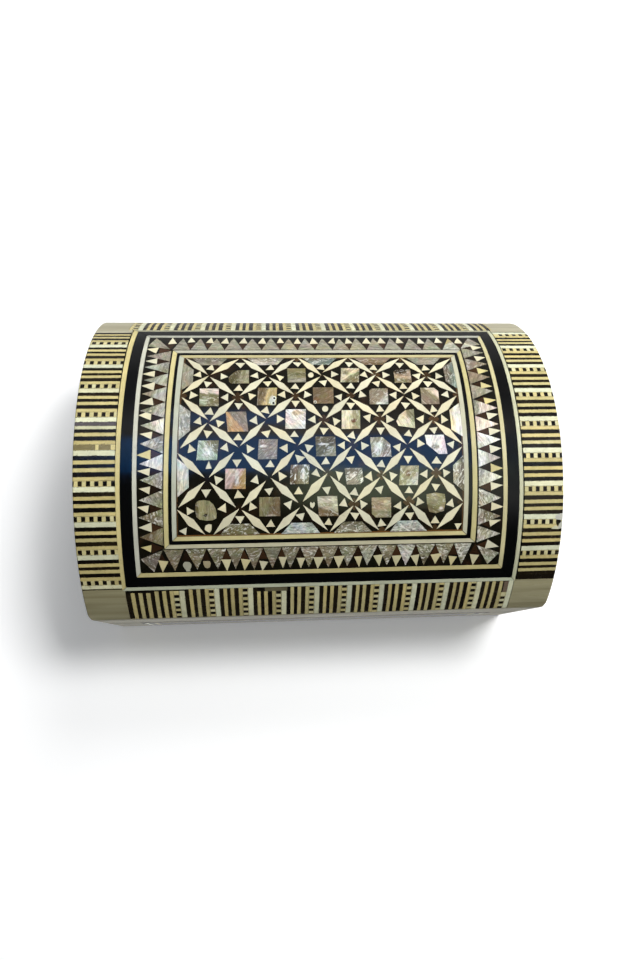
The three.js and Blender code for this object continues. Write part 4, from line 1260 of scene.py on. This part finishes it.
# ------------------------------------------------------------------ corner blocks
FINE = (
    END_CUTS + [s * (HALF_L - CORNER + CORNER * k / 8) for s in (-1, 1) for k in range(9)],
    DOME_CUTS + [s * (62.0 + k * 0.35) for s in (-1, 1) for k in range(14)],
)
for name, (x0, x1), (s0, s1) in (
    ("corner_block_back_left", (-HALF_L, -68.35), (-BAND_END, -49.65)),
    ("corner_block_back_right", (67.35, HALF_L), (-BAND_END, -50.65)),
    ("corner_block_front_left", (-HALF_L, -66.05), (51.95, BAND_END)),
    ("corner_block_front_right", (65.95, HALF_L), (52.15, BAND_END)),
):
    c = Inlay(name + "_inlay")
    if "left" in name:
        other = -66.8 if "back" in name else x1
    else:
        other = 66.55 if "back" in name else x1
    # beside the end strip the block is as wide as the strip, beside the long band it meets the sticks
    meet = -52.5 if "back" in name else 52.6
    if "back" in name:
        c.add([(x0, s0), (x1, s0), (x1, meet), (x0, meet)], 0.02, -VENEER, (0.5, 0.5, 0.5), extra=FINE)
        a, b = (x0, other) if "left" in name else (other, x1)
        c.add([(a, meet), (b, meet), (b, s1), (a, s1)], 0.02, -VENEER, (0.5, 0.5, 0.5), extra=FINE)
    else:
        a, b = (x0, -66.85) if "left" in name else (66.4, x1)
        c.add([(a, s0), (b, s0), (b, meet), (a, meet)], 0.02, -VENEER, (0.5, 0.5, 0.5), extra=FINE)
        c.add([(x0, meet), (x1, meet), (x1, s1), (x0, s1)], 0.02, -VENEER, (0.5, 0.5, 0.5), extra=FINE)
    # the back blocks take the paler copy of the khaki wood, a painted sheen
    c.build(KHAKI_PAINTED_SHEEN if "back" in name else KHAKI, "corner_wood", [name])


# ------------------------------------------------------------------ wooden body and lid
def outline(inset, radius, dense):
    """Points round a rounded rectangle, with more of them on the ends, where the dome curves."""
    x, y = HALF_L - inset, HALF_W - inset
    r = max(radius, 0.05)
    pts = []
    for cx, cy, a0 in ((x - r, -y + r, -90), (x - r, y - r, 0), (-x + r, y - r, 90), (-x + r, -y + r, 180)):
        for i in range(9):
            a = math.radians(a0 + 90 * i / 8)
            pts.append((cx + r * math.cos(a), cy + r * math.sin(a)))
        # the straight side that follows this corner
        n = dense if a0 in (-90, 90) else 8
        p = pts[-1]
        q = {-90: (x, y - r), 0: (-x + r, y), 90: (-x, -y + r), 180: (x - r, -y)}[a0]
        for i in range(1, n):
            t = i / n
            pts.append((p[0] + (q[0] - p[0]) * t, p[1] + (q[1] - p[1]) * t))
    return pts


def loft(name, loops, mats, replaces):
    """Closed shell through rings of points, shut by a face at each end. loops: (points, material)."""
    verts, faces, kinds = [], [], []
    n = len(loops[0][0])
    for pts, _ in loops:
        verts += [(p[0] * MM, p[1] * MM, p[2] * MM) for p in pts]
    for a in range(len(loops) - 1):
        for i in range(n):
            j = (i + 1) % n
            faces.append([a * n + i, a * n + j, (a + 1) * n + j, (a + 1) * n + i])
            kinds.append(loops[a + 1][1])

    # ends: strips across the ring, so that a domed end stays curved
    def cap(start, flip, kind):
        ids = [start + q for q in range(n)]
        lo, hi = 0, n - 1
        while hi - lo > 2:
            f = [ids[lo], ids[lo + 1], ids[hi - 1], ids[hi]]
            faces.append(f[::-1] if flip else f)
            kinds.append(kind)
            lo, hi = lo + 1, hi - 1
        if hi - lo == 2:
            f = [ids[lo], ids[lo + 1], ids[hi]]
            faces.append(f[::-1] if flip else f)
            kinds.append(kind)

    cap(0, True, loops[0][1])
    cap((len(loops) - 1) * n, False, loops[-1][1])
    me = bpy.data.meshes.new(name)
    me.from_pydata(verts, [], faces)
    for m in mats:
        me.materials.append(m)
    me.polygons.foreach_set("material_index", kinds)
    me.polygons.foreach_set("use_smooth", [True] * len(faces))
    me.update()
    o = bpy.data.objects.new(name, me)
    bpy.context.scene.collection.objects.link(o)
    bm = bmesh.new()
    bm.from_mesh(me)
    bmesh.ops.recalc_face_normals(bm, faces=bm.faces)
    for e in bm.edges:
        if len(e.link_faces) == 2 and e.calc_face_angle(0) > math.radians(35):
            e.smooth = False
    bm.to_mesh(me)
    bm.free()
    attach(o, "root")
    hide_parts(*replaces)
    return o


def level(inset, z, radius, kind, dense=24):
    return ([(x, y, z) for x, y in outline(inset, radius, dense)], kind)


OUT, IN = 0, 1
e = 0.45
body_loops = [
    level(6.0, 0.0, 1.0, IN),
    level(e, 0.0, CORNER - e, IN),
    level(e * 0.3, e * 0.3, CORNER - e * 0.3, OUT),
    level(0.0, e, CORNER, OUT),
    level(0.0, SEAM - 0.4, CORNER, OUT),
    level(0.12, SEAM - 0.12, CORNER - 0.1, OUT),
    level(0.45, SEAM, CORNER - 0.4, OUT),
    level(TONGUE, SEAM, 1.6, IN),
    level(TONGUE, SEAM + TONGUE_H - 0.3, 1.6, IN),
    level(TONGUE + 0.3, SEAM + TONGUE_H, 1.5, IN),
    level(WALL - 0.3, SEAM + TONGUE_H, 1.4, IN),
    level(WALL, SEAM + TONGUE_H - 0.3, 1.3, IN),
    level(WALL, FLOOR + 0.3, 1.3, IN),
    level(WALL + 0.3, FLOOR, 1.2, IN),
    level(WALL + 8.0, FLOOR, 1.0, IN),
]
loft("box_body_wood", body_loops, [DARK_WOOD, PLAIN_WOOD], ["box_body"])


def domed(inset, r, radius, kind, drop=0.0, dense=24):
    return (
        [(x, y, AXIS_Z + math.sqrt(r * r - y * y) - drop) for x, y in outline(inset, radius, dense)],
        kind,
    )


Z0 = SEAM + 0.15
lid_loops = [domed(52.0, CORE_R, 0.5, OUT)]
for inset in (48, 44, 40, 36, 32, 28, 24, 20, 16, 12, 9, 6, 4, 2, 1):
    lid_loops.append(domed(inset, CORE_R, max(CORNER - inset, 0.5), OUT))
lid_loops += [
    domed(0.0, CORE_R, CORNER, OUT),
    level(0.0, 40.0, CORNER, OUT),
    level(0.0, Z0 + 0.4, CORNER, OUT),
    level(0.12, Z0 + 0.12, CORNER - 0.1, OUT),
    level(0.45, Z0, CORNER - 0.4, OUT),
    level(TONGUE - 0.3, Z0, 1.7, IN),
    level(TONGUE - 0.3, SEAM + TONGUE_H + 0.3, 1.7, IN),
    level(WALL, SEAM + TONGUE_H + 0.3, 1.3, IN),
    level(WALL, 40.0, 1.3, IN),
]
for inset in (6, 7, 9, 12, 16, 20, 24, 28, 32, 36, 40, 44, 48, 52):
    lid_loops.append(domed(inset, INNER_R, 1.3 if inset == 6 else 0.5, IN))
loft("lid_wood", lid_loops, [DARK_WOOD, PLAIN_WOOD], ["lid"])

# ------------------------------------------------------------------ plain lines on the upright faces
NO_CUTS = ([], [])


def bar(inlay, u0, u1, v0, v1, tint, grain=0.0):
    inlay.add([(u0, v0), (u1, v0), (u1, v1), (u0, v1)], 0.03, -0.8, vary(tint, 0.05), split=(grain, 1e3, 1.0))


def line_frame(inlay, u0, u1, v0, v1, w, tint):
    bar(inlay, u0, u1, v0, v0 + w, tint)
    bar(inlay, u0, u1, v1 - w, v1, tint)
    bar(inlay, u0, u0 + w, v0 + w + 0.05, v1 - w - 0.05, tint, math.pi / 2)
    bar(inlay, u1 - w, u1, v0 + w + 0.05, v1 - w - 0.05, tint, math.pi / 2)


for side, name in ((-1, "front"), (1, "back")):
    lines = Inlay(name + "_body_lines", long_wall(side), NO_CUTS)
    line_frame(lines, -66.3, 66.3, 3.2, SEAM - 3.0, 1.3, WHITE)
    line_frame(lines, -63.0, 63.0, 6.4, SEAM - 6.2, 1.1, PALE_YELLOW)
    lines.build(BONE, "bone")
    posts = Inlay(name + "_body_corners", long_wall(side), ([s * (HALF_L - CORNER + CORNER * k / 6) for s in (-1, 1) for k in range(7)], []))
    for s in (-1, 1):
        posts.add([(s * 67.2, 0.7), (s * (HALF_L - 0.02), 0.7), (s * (HALF_L - 0.02), SEAM - 0.6), (s * 67.2, SEAM - 0.6)], 0.02, -0.8, (0.5, 0.5, 0.5))
    posts.build(KHAKI, "corner_wood")
for side, name in ((-1, "left"), (1, "right")):
    lines = Inlay(name + "_end_lines", end_wall(side), NO_CUTS)
    line_frame(lines, -50.0, 50.0, 3.2, SEAM - 3.0, 1.3, WHITE)
    # on the lid's end the line follows the arch
    r0, r1 = R - 7.3, R - 6.0
    foot, n = SEAM + 3.4, 40
    half = math.asin(49.0 / r1)
    ang = [half * (2 * i / n - 1) for i in range(n + 1)]
    for a, b in zip(ang, ang[1:]):
        quad = [(r0 * math.sin(a), AXIS_Z + r0 * math.cos(a)), (r1 * math.sin(a), AXIS_Z + r1 * math.cos(a)), (r1 * math.sin(b), AXIS_Z + r1 * math.cos(b)), (r0 * math.sin(b), AXIS_Z + r0 * math.cos(b))]
        lines.add(quad, 0.03, -0.8, WHITE, split=((a + b) / -2, 1e3, 1.0))
    bar(lines, -49.0, 49.0, foot, foot + 1.3, WHITE)
    for s in (-1, 1):
        y0, y1 = sorted((s * 49.0, s * 47.7))
        bar(lines, y0, y1, foot + 1.35, AXIS_Z + math.sqrt(r1 * r1 - 49.0**2) - 0.1, WHITE, math.pi / 2)
    lines.build(BONE, "bone")

# ------------------------------------------------------------------ floor, light and camera
bpy.ops.mesh.primitive_plane_add(size=6.0, location=(0, 0, -0.00002))
floor = bpy.context.object
floor.name = "floor"
fm, fnt, fb = tree("pale_floor")
pos = parts(fnt, coords(fnt))
away = maths(fnt, "SQRT", maths(fnt, "ADD", maths(fnt, "MULTIPLY", pos[0], pos[0]), maths(fnt, "MULTIPLY", pos[1], pos[1])))
far = span(fnt, away, 0.6, 1.6)
link(fnt, mix(fnt, far, (0.93, 0.93, 0.93), (0.42, 0.42, 0.42)), fb.inputs["Base Color"])
fb.inputs["Emission Color"].default_value = (1.0, 1.0, 1.0, 1.0)
link(fnt, span(fnt, away, 0.6, 1.6, 0.26, 0.02), fb.inputs["Emission Strength"])
fb.inputs["Roughness"].default_value = 0.8
floor.data.materials.append(fm)
floor.visible_glossy = False
floor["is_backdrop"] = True

scene = bpy.context.scene
scene.view_settings.view_transform = "Standard"
scene.view_settings.look = "None"
world = bpy.data.worlds.new("studio")
world.use_nodes = True
wnt = world.node_tree
way = parts(wnt, wnt.nodes.new("ShaderNodeTexCoord").outputs["Generated"])


def ramp(nt, value, stops):
    """Greys or colours along a value that runs from -1 to 1."""
    n = nt.nodes.new("ShaderNodeValToRGB")
    e = n.color_ramp.elements
    for i, (at, c) in enumerate(stops):
        k = e[i] if i < 2 else e.new((at + 1) / 2)
        k.position = (at + 1) / 2
        k.color = (*c, 1.0) if isinstance(c, tuple) else (c, c, c, 1.0)
    nt.links.new(maths(nt, "MULTIPLY_ADD", value, 0.5), n.inputs[0])
    n.inputs[0].links[0].from_node.inputs[2].default_value = 0.5
    return n.outputs[0]


# The room: pale towards the back and overhead, dark towards the front
lit = ramp(wnt, way["Z"], [(-1.0, 0.52), (-0.8, 0.40), (-0.1, 0.27), (0.2, 0.30), (0.4, 0.16), (0.68, 0.17), (0.8, 0.30), (0.86, 0.42), (0.94, (0.27, 0.30, 0.32)), (0.97, (0.26, 0.34, 0.38))])
unlit = ramp(wnt, way["Z"], [(-1.0, 0.52), (-0.8, 0.25), (-0.5, 0.02), (1.0, 0.008)])
turn = maths(wnt, "ADD", maths(wnt, "ADD", way["Y"], maths(wnt, "MULTIPLY", way["X"], 1.2)), 0.17)
bg = wnt.nodes["Background"]
link(wnt, mix(wnt, span(wnt, turn, -0.14, 0.14), unlit, lit), bg.inputs[0])
bg.inputs[1].default_value = 1.0
scene.world = world


def area_light(name, at, to, size, power, color=(1, 1, 1), size_y=None):
    d = bpy.data.lights.new(name, "AREA")
    d.shape = "RECTANGLE"
    d.size, d.size_y = size, size_y or size
    d.energy, d.color = power, color
    o = bpy.data.objects.new(name, d)
    o.location = at
    o.rotation_euler = (Vector(at) - Vector(to)).to_track_quat("Z", "Y").to_euler()
    scene.collection.objects.link(o)
    return o


for name, at, size, power in (("key", (0.34, 0.18, 0.80), 0.26, 6.1), ("back_light", (0.25, 0.72, 0.77), 0.34, 4.6)):
    area_light(name, at, (0, 0, 0.04), size, power).visible_glossy = False
# soft panes overhead, seen only as gloss in the lacquer
BLUE, WARM, PALE = (0.03, 0.32, 1.0), (1.0, 0.78, 0.58), (0.84, 1.0, 0.62)
for name, at, size, deep, power, color in (
    ("pane_near", (0.02, 0.11, 1.08), 0.64, 0.42, 1.41, BLUE),
    ("pane_far", (-0.08, 0.60, 1.08), 0.26, 0.24, 0.30, BLUE),
    ("pane_between", (0.08, 0.40, 1.08), 0.70, 0.15, 0.15, WARM),
    ("pane_front", (0.225, -0.33, 1.08), 0.39, 0.60, 0.34, PALE),
    ("pane_front_middle", (0.165, -0.28, 1.07), 0.26, 0.44, 0.33, PALE),
):
    area_light(name, at, (at[0], at[1], 0.0), size, power, color, deep).visible_diffuse = False

# Camera: height angle, turn, roll, what it looks at, distance and focal length in pixels
EL, YAW, ROLL = 1.307537730491285, -0.2869561782518326, 0.2621410607069108
TARGET = Vector((-0.008962408 * 160, -0.097841824 * 160, RIDGE))
DIST, FOCAL = 1.3524480126 * 160, 672.3578498
back = Vector((math.sin(YAW) * math.cos(EL), -math.cos(YAW) * math.cos(EL), math.sin(EL)))
right = (-back).cross(Vector((0, 0, 1))).normalized()
up = right.cross(-back)
r2 = right * math.cos(ROLL) + up * math.sin(ROLL)
u2 = up * math.cos(ROLL) - right * math.sin(ROLL)
cam = bpy.data.cameras.new("camera")
cam.sensor_fit = "AUTO"
cam.sensor_width = 36.0
cam.lens = 1.001 * FOCAL * 36.0 / 960.0
cam.shift_x = -0.5 / 960.0
cam.shift_y = 0.6 / 960.0
cam.clip_start = 0.01
co = bpy.data.objects.new("camera", cam)
m = Matrix((r2, u2, back)).transposed().to_4x4()
m.translation = (TARGET + back * DIST) * MM
co.matrix_world = m
scene.collection.objects.link(co)
scene.camera = co

low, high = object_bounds()
